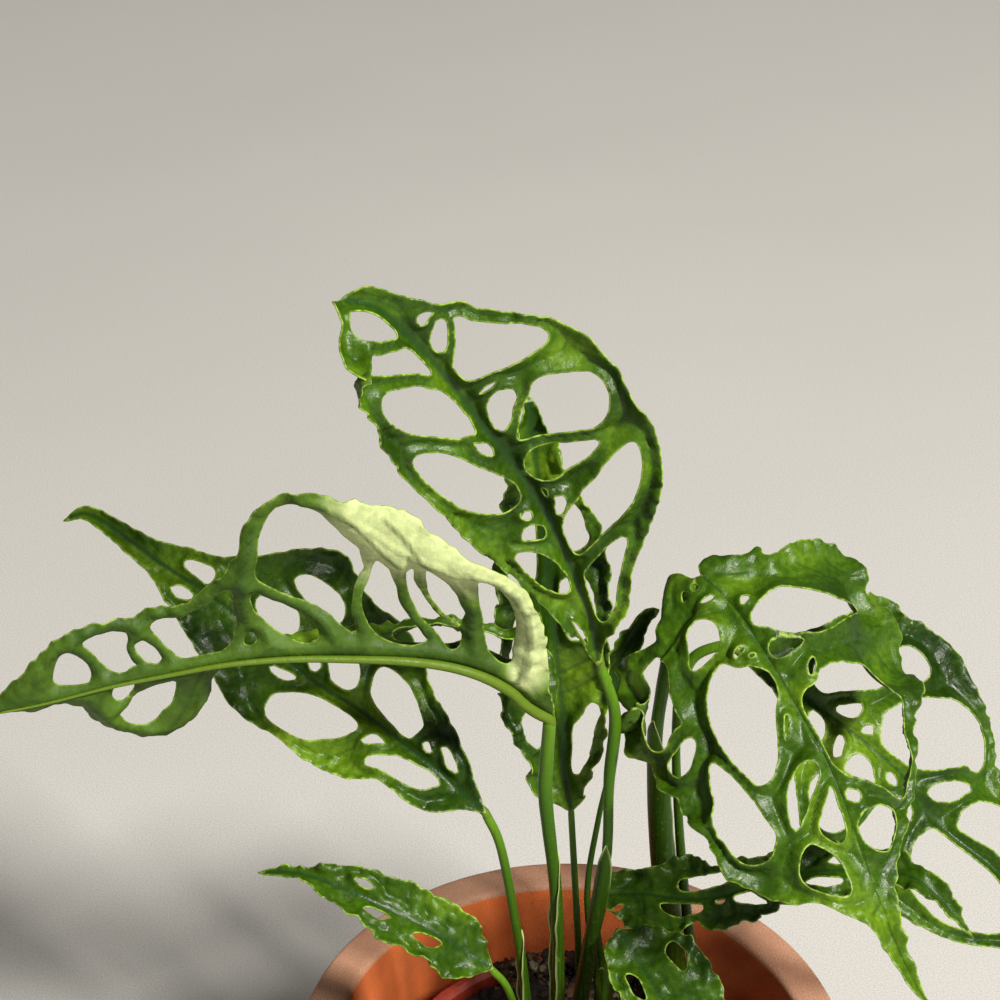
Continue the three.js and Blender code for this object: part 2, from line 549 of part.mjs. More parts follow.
// Swaps the edge between two triangles wherever that makes them plumper.
function plumpTriangles(points, faces) {
  const angleAt = (p, q, r) => {
    const [ax, ay, bx, by] = [q.x - p.x, q.y - p.y, r.x - p.x, r.y - p.y];
    return Math.atan2(Math.abs(ax * by - ay * bx), ax * bx + ay * by);
  };
  let swapping = true;
  while (swapping) {
    swapping = false;
    const owners = new Map();
    faces.forEach((face, f) => {
      face.forEach((a, k) => owners.set(a + "," + face[(k + 1) % 3], [f, face[(k + 2) % 3]]));
    });
    const changed = new Set();
    for (const [key, [f, c]] of owners) {
      const [a, b] = key.split(",").map(Number);
      const [g, d] = owners.get(b + "," + a) ?? [];
      if (g === undefined || changed.has(f) || changed.has(g)) continue;
      const apart = angleAt(points[c], points[a], points[b]) + angleAt(points[d], points[a], points[b]);
      if (apart < Math.PI + 1e-6) continue;
      faces[f] = [a, d, c];
      faces[g] = [d, b, c];
      changed.add(f).add(g);
      swapping = true;
    }
  }
}

const flatPoints = (pairs, sign = 1) => pairs.map(([x, y]) => new THREE.Vector2(x, sign * y));

// A smooth closed outline, with a few points to each of its spans.
function closedOutline(pairs, perSpan) {
  const points = pairs.map(([x, y]) => new THREE.Vector3(x, y, 0));
  const curve = new THREE.CatmullRomCurve3(points, true, "catmullrom", 0.5);
  return curve.getPoints(perSpan * pairs.length).slice(0, -1).map((p) => new THREE.Vector2(p.x, p.y));
}

// The blade of one leaf: both halves cut flat with their holes, then bent and given a thickness.
function bladeGeometry(plan) {
  const surface = new LeafSurface(plan);
  const length = surface.length;
  const ribSteps = Math.round(length / 6);
  const rib = Array.from({ length: ribSteps + 1 }, (_, i) => new THREE.Vector2((length * i) / ribSteps, 0));
  const flat = [];
  const byPlace = new Map();
  const indexOf = (p) => {
    const key = p.x.toFixed(3) + "," + p.y.toFixed(3);
    if (!byPlace.has(key)) {
      byPlace.set(key, flat.length);
      flat.push(p);
    }
    return byPlace.get(key);
  };
  const faces = [];
  for (const sign of [1, -1]) {
    const margin = sign > 0 ? plan.left : plan.right;
    const spline = new THREE.SplineCurve(flatPoints(margin.slice(0, -1), sign));
    const edge = spline.getPoints(2 * (margin.length - 2)).slice(1);
    const contour = [...edge, ...rib.slice().reverse()];
    const holes = plan.holes
      .filter((hole) => sign * hole[0][1] > 0)
      .map((hole) => closedOutline(hole, hole.length > 6 ? 2 : 3))
      .filter((hole) => Math.abs(THREE.ShapeUtils.area(hole)) > SMALLEST_HOLE);
    const points = [contour, ...holes].flat();
    const triangles = THREE.ShapeUtils.triangulateShape(contour, holes);
    const turns = triangles.map(([a, b, c]) => THREE.ShapeUtils.area([points[a], points[b], points[c]]));
    if (turns.reduce((sum, turn) => sum + turn) < 0) triangles.forEach((triangle) => triangle.reverse());
    plumpTriangles(points, triangles);
    for (const triangle of triangles) faces.push(triangle.map((i) => indexOf(points[i])));
  }
  const count = flat.length;
  const positions = [];
  for (const shift of [BLADE_THICKNESS / 2, -BLADE_THICKNESS / 2]) {
    for (const p of flat) {
      const q = surface.at(p.x, p.y).addScaledVector(surface.normal(p.x, p.y), shift);
      positions.push(q.x, q.y, q.z);
    }
  }
  const edges = new Set(faces.flatMap(([a, b, c]) => [a + "," + b, b + "," + c, c + "," + a]));
  const index = [];
  for (const [a, b, c] of faces) {
    index.push(a, b, c, count + a, count + c, count + b);
    for (const [p, q] of [[a, b], [b, c], [c, a]]) {
      if (!edges.has(q + "," + p)) index.push(q, p, count + p, q, count + p, count + q);
    }
  }
  const geometry = new THREE.BufferGeometry();
  geometry.setAttribute("position", new THREE.Float32BufferAttribute(positions, 3));
  geometry.setIndex(index);
  return geometry;
}

// The thick-walled pot, turned round the axis, its rim and foot rounded off.
function outerPot() {
  const rim = POT_RIM_RADIUS;
  const inner = rim - POT_RIM_WIDTH;
  const innerFoot = POT_FOOT_RADIUS - 6;
  const profile = [
    [0, 0], [POT_FOOT_RADIUS - 1.5, 0], [POT_FOOT_RADIUS, 1.5],
    [rim - 0.5, POT_HEIGHT - 3], [rim - 1.5, POT_HEIGHT - 0.5], [rim - 3, POT_HEIGHT],
    [inner + 2, POT_HEIGHT], [inner + 0.5, POT_HEIGHT - 0.8], [inner, POT_HEIGHT - 2.5],
    [innerFoot + 4, POT_FLOOR + 4], [innerFoot, POT_FLOOR], [0, POT_FLOOR],
  ];
  return drained(lathed(profile), POT_DRAINS);
}

// The nursery pot: a thin tapered cup with a rolled lip.
function nurseryPot() {
  const floor = POT_FLOOR + GAP;
  const lipInner = NURSERY_RIM_RADIUS - NURSERY_LIP_WIDTH;
  const profile = [
    [0, floor], [NURSERY_FOOT_RADIUS, floor], [lipInner, NURSERY_RIM_TOP - NURSERY_LIP_DROP],
    [NURSERY_RIM_RADIUS - 0.5, NURSERY_RIM_TOP - NURSERY_LIP_DROP],
    [NURSERY_RIM_RADIUS, NURSERY_RIM_TOP - 1.5],
    [NURSERY_RIM_RADIUS - 1, NURSERY_RIM_TOP], [lipInner - 1, NURSERY_RIM_TOP - 0.4],
    [lipInner - NURSERY_WALL, NURSERY_RIM_TOP - 2],
    [NURSERY_FOOT_RADIUS - NURSERY_WALL, floor + NURSERY_WALL], [0, floor + NURSERY_WALL],
  ];
  return drained(lathed(profile), NURSERY_DRAINS);
}

// A pot with its drain holes cut through the floor, evenly spaced round the middle.
function drained(geometry, { radius, reach, count }) {
  let pot = solidOf(geometry);
  for (let i = 0; i < count; i++) {
    const turn = Math.PI / 2 + (2 * Math.PI * i) / count;
    const drill = new THREE.CylinderGeometry(radius, radius, 4 * POT_FLOOR, 16);
    drill.rotateX(Math.PI / 2);
    drill.translate(reach * Math.cos(turn), reach * Math.sin(turn), 0);
    pot = pot.subtract(solidOf(drill));
  }
  return geometryOf(pot);
}

function lathed(profile) {
  const points = profile.map(([r, z]) => new THREE.Vector2(r, z));
  const geometry = new THREE.LatheGeometry(points, ROUND_SIDES);
  geometry.rotateX(Math.PI / 2);
  return geometry;
}

// Radius of the mix where it meets the nursery pot's wall at a height.
function mixRadius(z) {
  const low = POT_FLOOR + GAP + NURSERY_WALL;
  const high = NURSERY_RIM_TOP - 2;
  const lowRadius = NURSERY_FOOT_RADIUS - NURSERY_WALL;
  const highRadius = NURSERY_RIM_RADIUS - NURSERY_LIP_WIDTH - NURSERY_WALL;
  return lowRadius + ((highRadius - lowRadius) * (z - low)) / (high - low) - GAP;
}

const mixHeight = (x, y) => SOIL_TOP + SOIL_MOUND * (1 - Math.hypot(x, y) / mixRadius(SOIL_TOP));

// The potting mix, with a socket round the buried foot of each stem.
function pottingMix() {
  const floor = POT_FLOOR + 2 * GAP + NURSERY_WALL;
  const edge = mixRadius(SOIL_TOP);
  const profile = [
    [0, floor], [mixRadius(floor) - 1, floor], [edge, SOIL_TOP],
    [edge / 2, SOIL_TOP + SOIL_MOUND / 2], [0, SOIL_TOP + SOIL_MOUND],
  ];
  let mix = solidOf(lathed(profile));
  for (const stem of Object.values(STEMS)) {
    mix = mix.subtract(solidOf(stemGeometry(stem, GAP)));
  }
  return geometryOf(mix);
}

// A short stem with two leaf scars, its foot down in the mix.
function stemGeometry({ foot, radius, top }, clearance = 0) {
  const bottom = SOIL_TOP - STEM_BURIED - clearance;
  const r = radius + clearance;
  const end = top + clearance;
  const bulge = 0.5;
  const rings = [
    [bottom, r - 1.5], [bottom + 2, r], [SOIL_TOP - 6, r], [SOIL_TOP - 5, r + bulge], [SOIL_TOP - 4, r],
    [SOIL_TOP + 1.5, r], [SOIL_TOP + 2.5, r + bulge], [SOIL_TOP + 3.5, r], [end - 1, r], [end, r - 1],
  ];
  const profile = [[0, bottom], ...rings.map(([z, ringRadius]) => [ringRadius, z]), [0, end]];
  const geometry = new THREE.LatheGeometry(profile.map(([a, z]) => new THREE.Vector2(a, z)), 20);
  geometry.rotateX(Math.PI / 2);
  geometry.translate(foot[0], foot[1], 0);
  return geometry;
}

// One loose bit, lying on the mix.
function bitGeometry(place, size, turn) {
  const geometry = new THREE.IcosahedronGeometry(0.5, 1);
  const position = geometry.attributes.position;
  for (let i = 0; i < position.count; i++) {
    const lump = 1 + 0.12 * Math.sin(9 * position.getX(i) + turn) * Math.cos(8 * position.getY(i));
    position.setXYZ(i, position.getX(i) * lump, position.getY(i) * lump, position.getZ(i) * lump);
  }
  geometry.scale(...size);
  geometry.rotateZ(radians(turn));
  geometry.computeBoundingBox();
  const rest = mixHeight(...place) + GAP - geometry.boundingBox.min.z;
  geometry.translate(place[0], place[1], rest);
  return geometry;
}

const plant = new THREE.Group();

function addPiece(name, geometry, colour, roughness) {
  const material = new THREE.MeshStandardMaterial({ color: colour, roughness, metalness: 0 });
  const mesh = new THREE.Mesh(geometry, material);
  mesh.name = name;
  plant.add(mesh);
}

addPiece("outer_pot", outerPot(), COLOURS.terracotta, 0.85);
addPiece("nursery_pot", nurseryPot(), COLOURS.nursery, 0.45);
addPiece("potting_mix", pottingMix(), COLOURS.mix, 0.95);
for (const [name, stem] of Object.entries(STEMS)) {
  addPiece(name, stemGeometry(stem), COLOURS.stem, 0.7);
}
for (const [name, plan] of Object.entries(PETIOLES)) {
  const stalk = taperedStalk(plan);
  const whole = plan.sheath ? geometryOf(solidOf(stalk).add(solidOf(sheathAround(plan)))) : stalk;
  addPiece("petiole_" + name, whole, COLOURS.petiole, 0.5);
}
for (const [name, plan] of Object.entries(LEAVES)) {
  addPiece("blade_" + name, bladeGeometry(plan), COLOURS.blade, 0.4);
}
BITS.forEach(([kind, place, size, turn], i) => {
  addPiece(kind + "_" + (i + 1), bitGeometry(place, size, turn), COLOURS[kind], 0.9);
});

export default plant;
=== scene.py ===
"""The looks of a potted Monstera obliqua: lacy leaves, stalks, potting mix and two pots.

Everything is modelled in millimetres in the plant's own frame, +Z up with the origin at the middle
of the pot's foot, and brought to metres when a mesh is made.
"""

import logging
import math
import random
from collections.abc import Callable, Sequence
from dataclasses import dataclass
from enum import Enum

import bpy
import numpy as np
from mathutils import Euler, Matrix, Vector, kdtree, noise
from mathutils.geometry import delaunay_2d_cdt


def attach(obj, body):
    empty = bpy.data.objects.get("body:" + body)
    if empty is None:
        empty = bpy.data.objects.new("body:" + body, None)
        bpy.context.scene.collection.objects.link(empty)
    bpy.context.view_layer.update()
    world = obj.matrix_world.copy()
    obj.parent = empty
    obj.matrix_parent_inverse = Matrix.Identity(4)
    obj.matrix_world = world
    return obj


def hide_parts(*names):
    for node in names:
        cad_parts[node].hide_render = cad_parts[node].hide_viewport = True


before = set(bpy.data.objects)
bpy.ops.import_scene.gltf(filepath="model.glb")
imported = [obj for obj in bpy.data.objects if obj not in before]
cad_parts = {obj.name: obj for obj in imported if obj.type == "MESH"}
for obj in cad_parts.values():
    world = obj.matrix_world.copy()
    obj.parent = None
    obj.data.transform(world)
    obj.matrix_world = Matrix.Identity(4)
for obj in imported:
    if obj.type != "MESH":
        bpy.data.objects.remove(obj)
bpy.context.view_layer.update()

log = logging.getLogger("potted_monstera")
MM = 0.001
Array = np.ndarray
Point = tuple[float, ...]
Piece = bpy.types.Object
Material = bpy.types.Material
Tree = bpy.types.NodeTree
Node = bpy.types.Node
Socket = bpy.types.NodeSocket
Stops = tuple[tuple[float, str | float], ...]
Feeds = dict[str | int, object]


# Plans of the leaves and their stalks


@dataclass(frozen=True)
class Habit:
    """How lively a blade is, in mm: cup is a slope, and the rest are heights or widths.

    cup is how steeply the straps sink to their veins, frill and tooth how far the margin waves up
    and down and in and out, sway how far whole straps lean, blister how high the blade puckers,
    open how much wider than its plan each hole is, and quilt how high it bulges between its side
    veins, which are gap apart.
    """

    cup: float = 0.7
    frill: float = 1.3
    tooth: float = 0.7
    sway: float = 1.8
    blister: float = 0.45
    open: float = 0.3
    quilt: float = 0.4
    gap: float = 8.0


LACY = Habit(cup=0.9, sway=2.6, open=0.7)
LACIEST = Habit(cup=1.0, open=0.9, sway=3.0)
FRILLED = Habit(cup=0.6, frill=2.6, tooth=1.5, sway=2.0, blister=0.4, quilt=1.1, gap=6.0)
PUCKERED = Habit(cup=0.6, frill=2.0, tooth=1.5, sway=1.6, blister=0.7, quilt=1.3, gap=5.0)


@dataclass(frozen=True)
class LeafPlan:
    """A blade drawn flat, x along its midrib and y across it, and how it bends in space.

    rib is the midrib's way and face where the upper side looks, from base to tip. wave is the
    ruffle's height, length and start. left and right are the margins, both with y above 0, while in
    holes y is above 0 on the left and below on the right. lift and curl, left then right, are how
    each half rises from the midrib and bends over half millimetres, in degrees. bleached is how far
    along the midrib the left half's outer underside is painted pale, as painted light falling on it
    and shining through.
    """

    rib: tuple[Point, ...]
    face: tuple[Point, ...]
    half: float
    wave: Point
    left: tuple[Point, ...]
    right: tuple[Point, ...]
    holes: tuple[tuple[Point, ...], ...] = ()
    lift: tuple[Point, Point] = ((0, 0), (0, 0))
    curl: tuple[Point, Point] = ((0, 0), (0, 0))
    habit: Habit = Habit()
    painted_light_reach: float = 0.0

    def rib_reach(self) -> float:
        """About how long the leaf is: a bent midrib is nearly a third longer than it reaches."""
        return 1.3 * math.dist(self.rib[0], self.rib[-1])


@dataclass(frozen=True)
class SheathPlan:
    """The winged sheath at a stalk's foot: how far up it ends, its radius and its open side."""

    top: float
    radius: float
    open_side: Point


@dataclass(frozen=True)
class StalkPlan:
    """A stalk's way from the mix to its leaf and its radii from foot to leaf."""

    way: tuple[Point, ...]
    radii: Point
    sheath: SheathPlan | None = None


LEAVES: dict[str, LeafPlan] = {}
LEAVES["tall"] = LeafPlan(
    rib=((5, 4, 260), (1, 2, 280), (-10, 0, 311), (-24, -2, 335), (-35, -5, 354), (-44, -9, 367.5),
        (-51.5, -12.5, 372.5)),
    face=((-0.2, -1, 0.3), (-0.15, -1, 0.4), (-0.1, -1, 0.5), (-0.1, -1, 0.8), (0.6, -0.6, 0.5)),
    half=32,
    lift=((15, 15), (5, 10)),
    wave=(1, 17, 0.4),
    habit=LACY,
    left=((0, 0), (4, 1.5), (9, 3), (16, 6), (23, 8), (29, 10), (38, 13), (50, 17), (60, 19), (72, 20),
        (82, 21), (93, 21), (104, 20.5), (112, 21), (118, 20.5), (124, 19), (128.5, 17.5), (130.3, 15),
        (131.5, 13), (131.4, 11), (130.7, 8.5), (131, 6.5), (132, 4), (133, 1.5), (133, 0)),
    right=((0, 0), (8, 2), (14, 6), (19, 10), (27, 13), (34, 17), (43, 24), (51, 29), (60, 32), (69, 32),
        (78, 32), (86, 31), (91, 28), (95, 25), (98.5, 21.5), (102, 17), (104.5, 14.3), (107.5, 12.8),
        (110, 9.9), (112.3, 7.6), (115.5, 6), (118.5, 4.3), (122, 3.6), (126, 2.9), (133, 0)),
    holes=(
        ((129.3, 4.8), (129.3, 3), (127.6, 2.2), (125, 1.9), (121, 1.9), (117, 1.9), (114.5, 2),
         (113.5, 3), (114.7, 4.4), (117.5, 6.4), (121, 8), (124.5, 9), (127.5, 9), (128.7, 7.2)),
        ((124, 14.3), (117, 10.5), (114, 7.6), (111, 5), (109, 3.3), (105, 2), (100, 1.8), (98.5, 2.3),
         (101.5, 4), (105, 6.5), (109, 9.7), (112.5, 12), (118.5, 14.8)),
        ((107.3, 15.5), (106, 12.8), (103, 10.3), (99.5, 6.8), (96.5, 4.8), (93, 3), (88.5, 2),
         (83, 1.8), (79, 2), (82, 6), (90, 13), (98, 16), (104, 17)),
        ((78, 4), (75, 2), (72, 2), (75, 4)),
        ((84, 16), (79, 10), (70, 6), (62, 3), (57, 4), (57, 8), (63, 13), (73, 17), (80, 18)),
        ((54, 5), (53, 3), (51, 3), (52, 5)),
        ((50, 6), (49, 3), (45, 2), (45, 4), (47, 7)),
        ((44, 10), (40, 5), (32, 2), (27, 2), (30, 6), (38, 10)),
        ((18, 4), (13, 2), (8, 1.5), (11, 3)),
        ((112, -3.7), (111.7, -5.7), (110.4, -6.8), (110, -5.5), (109.4, -3.7), (110.3, -2.8)),
        ((108.3, -5.7), (108, -7.3), (106.5, -7.8), (104.3, -6.6), (102.2, -4.8), (101, -3.2),
         (101.5, -2), (103.5, -1.9), (105.5, -2.7), (107.3, -4.2)),
        ((104.3, -8.2), (106, -9.3), (105, -10.8), (102.5, -12.2), (100.5, -14.7), (99, -17.2),
         (97, -20.3), (94, -22.8), (91.5, -23.8), (90.3, -23), (90, -20), (90.3, -16), (91, -12),
         (91.2, -9), (91.7, -5.7), (93, -3.4), (96.5, -2.8), (99, -4), (101.5, -6.3)),
        ((87.6, -3.8), (88.8, -6), (89, -8.6), (88, -8), (87.2, -5.5)),
        ((85, -4.7), (86, -6.7), (86.2, -8.2), (85.3, -9.7), (83.5, -10.4), (81, -10), (78.5, -7.7),
         (76, -5.7), (75.2, -3.2), (76.5, -2.2), (79, -2.2), (82, -3.2)),
        ((80, -12), (83, -17), (80, -23), (75, -27), (70, -27), (67, -24), (66, -19), (68, -10),
         (71, -5), (74, -6)),
        ((67, -5), (66, -9), (64, -15), (62, -19), (60, -15), (59, -10), (58, -5), (60, -2), (64, -2)),
        ((57, -2), (56, -3), (54, -2), (55, -1.5)),
        ((54, -4), (52, -6), (49, -4), (49, -2), (52, -3)),
        ((47, -3), (51, -8), (54, -14), (57, -20), (58, -26), (54, -25), (49, -21), (44, -15), (39, -8),
         (37, -3), (41, -2)),
        ((38, -15), (33, -13), (27, -10), (20, -7), (16, -4), (17, -2), (24, -2), (30, -3), (34, -7),
         (37, -11)),
    ),
)
LEAVES["arching"] = LeafPlan(
    rib=((-6, -6, 254), (-15, -7, 267), (-31, -9, 276), (-57, -12, 280), (-77, -15, 281),
        (-102, -18, 277), (-124, -22, 273), (-137, -25, 272)),
    face=((0.2, 0.9, 0.5), (0, 1, 0.1), (0, 1, 0.1), (0, 1, 0.1)),
    half=40,
    lift=((10, 10, 5, 0), (95, 70, 60, 60, 25, 0, 0)),
    curl=((-20, -20, 0, 0), (0, 0)),
    wave=(0.6, 19, 1.1),
    habit=LACIEST,
    # painted light: the outer underside is painted pale this far along the midrib
    painted_light_reach=72,
    left=((0, 0), (4, 2), (9, 4), (14, 7.5), (19, 14), (22.5, 18.5), (26.5, 24), (31, 28.5), (36, 31),
        (42, 34), (50, 39), (56, 41.5), (62, 43.5), (68, 45), (73, 43), (77, 39), (79.7, 33.5),
        (81.7, 27.5), (85.5, 22), (90, 18.2), (95, 16), (100, 16.2), (104.5, 15), (110, 16), (116, 16.6),
        (122, 16), (130, 12), (137, 6), (143, 0)),
    right=((0, 0), (2, 6), (8, 12), (18, 15), (35, 18), (55, 19), (70, 15), (82, 11), (88, 11), (92, 14),
        (95, 19), (98.5, 24.5), (103, 27.6), (107, 27), (110, 24.5), (114.5, 20), (119, 15), (121.8, 11),
        (122.4, 8), (124, 4.8), (128, 3.2), (135, 2.5), (143, 0)),
    holes=(
        ((77, 33), (76, 36.5), (74.5, 39.5), (72, 40.5), (69, 39.5), (66, 35.5), (62.5, 31), (59, 27),
         (56.5, 22), (57.5, 18.5), (58.5, 14.5), (58.5, 10), (57.5, 7), (57.5, 4), (60, 6), (63.5, 9.5),
         (68, 11.8), (72, 13.8), (75.5, 17), (77.8, 20.5), (77.6, 26)),
        ((79, 17), (77.5, 15.6), (74.5, 12.7), (71, 9.5), (69, 6.8), (66.5, 3), (70, 2.2), (73.5, 4),
         (76.5, 6.5), (78.8, 10.5), (79.6, 14.5)),
        ((55, 22.5), (54.2, 24.2), (53, 23.5), (51, 20.5), (49, 16.5), (47.8, 12), (45.2, 8.3),
         (41.5, 3.8), (41, 2.2), (48, 2.2), (52, 3.8), (55, 6.8), (56.6, 11), (56.6, 14.5),
         (55.4, 18.5)),
        ((47.4, 19.5), (46.8, 23), (46, 22.8), (45.6, 19.5), (43.8, 16.2), (41.2, 12.4), (37.8, 9),
         (35, 7), (33.4, 5), (33.8, 2.4), (36.5, 2.6), (40, 5.4), (43.2, 8.7), (45.6, 12.5), (46.9, 16)),
        ((43.8, 23.4), (43.2, 18.5), (41.8, 15), (38.8, 11.3), (35.8, 8.6), (34.2, 7.6), (35, 12),
         (37.5, 17), (41, 21.2)),
        ((33.8, 24), (33, 18), (30.4, 11.5), (27.6, 6), (25, 3.2), (22.4, 2.6), (21, 3.2), (23.2, 6.8),
         (25.6, 13), (28.6, 19), (31.4, 22.8)),
        ((83.8, 19), (86.5, 17.6), (90, 15.4), (93.5, 13.4), (96.5, 13), (100.3, 13), (102, 11.3),
         (101.2, 8), (99.5, 4.5), (97.5, 2.4), (93, 2.2), (89, 2.2), (86, 2.6), (84.6, 4.2), (84, 8),
         (84.2, 13)),
        ((82.6, 2.2), (82.4, 4.2), (81, 4.6), (80.3, 3.4), (80.8, 2.2)),
        ((107, 8.3), (105, 8.8), (102.6, 6.3), (101.8, 4), (102, 2.4), (105.3, 2.4), (106.4, 4),
         (107.2, 6.3)),
        ((117.5, 12), (116, 13.6), (112, 13.8), (108.8, 12.3), (107.6, 10.6), (108.7, 7.5), (108.3, 4),
         (107.6, 2.4), (109.5, 2.3), (112.5, 2.3), (115, 4.5), (116.4, 7.5), (117, 10)),
        ((124, 9.8), (122, 10.3), (120, 8.8), (118.8, 7), (118.5, 4.2), (119.3, 2.3), (121, 2.2),
         (124.5, 2.8), (126.6, 4.2)),
        ((114.6, -4), (113, -2.4), (110.6, -2.4), (110.2, -5), (113.6, -7.8), (115.3, -6)),
        ((115, -12.5), (113, -9.5), (110.6, -7.2), (106.5, -6), (103.5, -6.2), (101.8, -7), (104, -12),
         (107, -15), (109.5, -17.3), (113, -17.3), (114.5, -15.5)),
        ((14, -5), (12, -8), (19, -12), (26, -12), (24, -6)),
        ((34, -5), (30, -10), (34, -14), (44, -15), (46, -11), (42, -6)),
        ((54, -4.5), (51, -10), (54, -15), (61, -14.5), (65, -10), (61, -4.5)),
        ((72, -3.5), (71, -8), (76, -9.5), (84, -7.5), (83, -3.5)),
    ),
)
LEAVES["left"] = LeafPlan(
    rib=((-23, 0, 218), (-38, 8, 228), (-53, 18, 235), (-71, 28, 242), (-90, 38, 255), (-108, 47, 263),
        (-125, 56, 271), (-134, 58, 268)),
    face=((-0.2, -0.6, 0.8), (-0.2, -0.6, 0.8)),
    half=28,
    lift=((5, 5), (10, 10)),
    curl=((-15, -10), (0, 0)),
    wave=(1, 16, 0),
    habit=LACY,
    left=((0, 0), (5, 3), (10, 8), (18, 11), (26, 11), (34, 16), (44, 18), (56, 17), (66, 18), (77, 15),
        (88, 12), (98, 8), (106, 4), (114, 3), (126, 2), (132, 1.4), (138, 0)),
    right=((0, 0), (5, 3), (12, 7), (20, 11), (30, 15), (36, 20), (44, 24), (54, 25), (64, 28), (72, 30),
        (79, 25), (85, 17), (92, 10), (100, 7.5), (110, 4), (122, 2), (131, 1.4), (138, 0)),
    holes=(
        ((100, -3), (99, -5), (93, -6), (93, -2)),
        ((100, 4), (97, 2), (94, 3), (97, 5)),
        ((66, 4), (63, 2.5), (60, 2), (62, 4)),
        ((60, 14), (61, 9), (57, 5), (50, 3), (42, 3), (39, 5), (44, 10), (50, 14), (56, 15)),
        ((36, 6), (34, 3), (31, 3), (33, 5)),
        ((31, 10), (31, 7), (26, 4), (20, 2), (14, 2), (17, 6), (22, 8), (27, 9)),
        ((66, -2), (64, -5), (62, -4), (63, -2)),
        ((60, -3), (59, -6), (56, -4), (57, -2)),
        ((56, -7), (53, -11), (49, -10), (46, -6), (47, -3), (52, -3)),
        ((42, -12), (42, -7), (39, -4), (32, -2), (27, -2), (26, -6), (30, -9), (36, -12)),
        ((23, -3), (22, -4), (20, -3), (21, -2)),
        ((19, -5), (17, -6), (14, -5), (12, -3), (15, -3)),
        ((76, -17), (74, -20), (69, -21), (64, -21), (60, -19), (59, -16), (64, -15), (71, -15)),
        ((80, -7), (76, -11), (70, -10), (67, -5), (72, -3), (77, -4)),
    ),
)
LEAVES["back"] = LeafPlan(
    rib=((-1, 12, 208), (-3, 14, 220), (-3, 17, 232), (-4, 19, 242), (-6, 22, 262), (-8, 26, 283),
        (-10, 30, 301), (-12, 34, 319)),
    face=((0, -1, 0.2), (0.3, -1, 0.2)),
    half=24,
    lift=((30, 30), (30, 30)),
    wave=(1.4, 13, 0),
    habit=FRILLED,
    left=((0, 0), (4, 4), (8, 8), (16, 11), (24, 15), (32, 17), (44, 18), (56, 18), (70, 17), (84, 13),
        (98, 8), (107, 4), (114, 0)),
    right=((0, 0), (4, 4), (9, 6), (16, 9), (24, 11), (34, 13), (46, 14), (60, 15), (72, 15), (84, 13),
        (96, 7), (106, 3), (114, 0)),
    holes=(
        ((24, -2), (28, -5), (32, -8), (30, -10), (24, -8), (18, -7), (13, -5), (12, -2), (18, -2)),
        ((32, 12), (34, 8), (29, 6), (22, 6), (21, 9), (26, 12)),
        ((92, -3), (90, -7), (84, -10), (76, -10), (74, -4), (82, -2)),
        ((66, -3), (66, -9), (58, -11), (52, -10), (50, -4), (58, -2)),
        ((86, 3), (84, 8), (76, 12), (68, 12), (66, 6), (74, 3)),
        ((58, 4), (60, 10), (54, 14), (46, 14), (42, 8), (48, 4)),
    ),
)
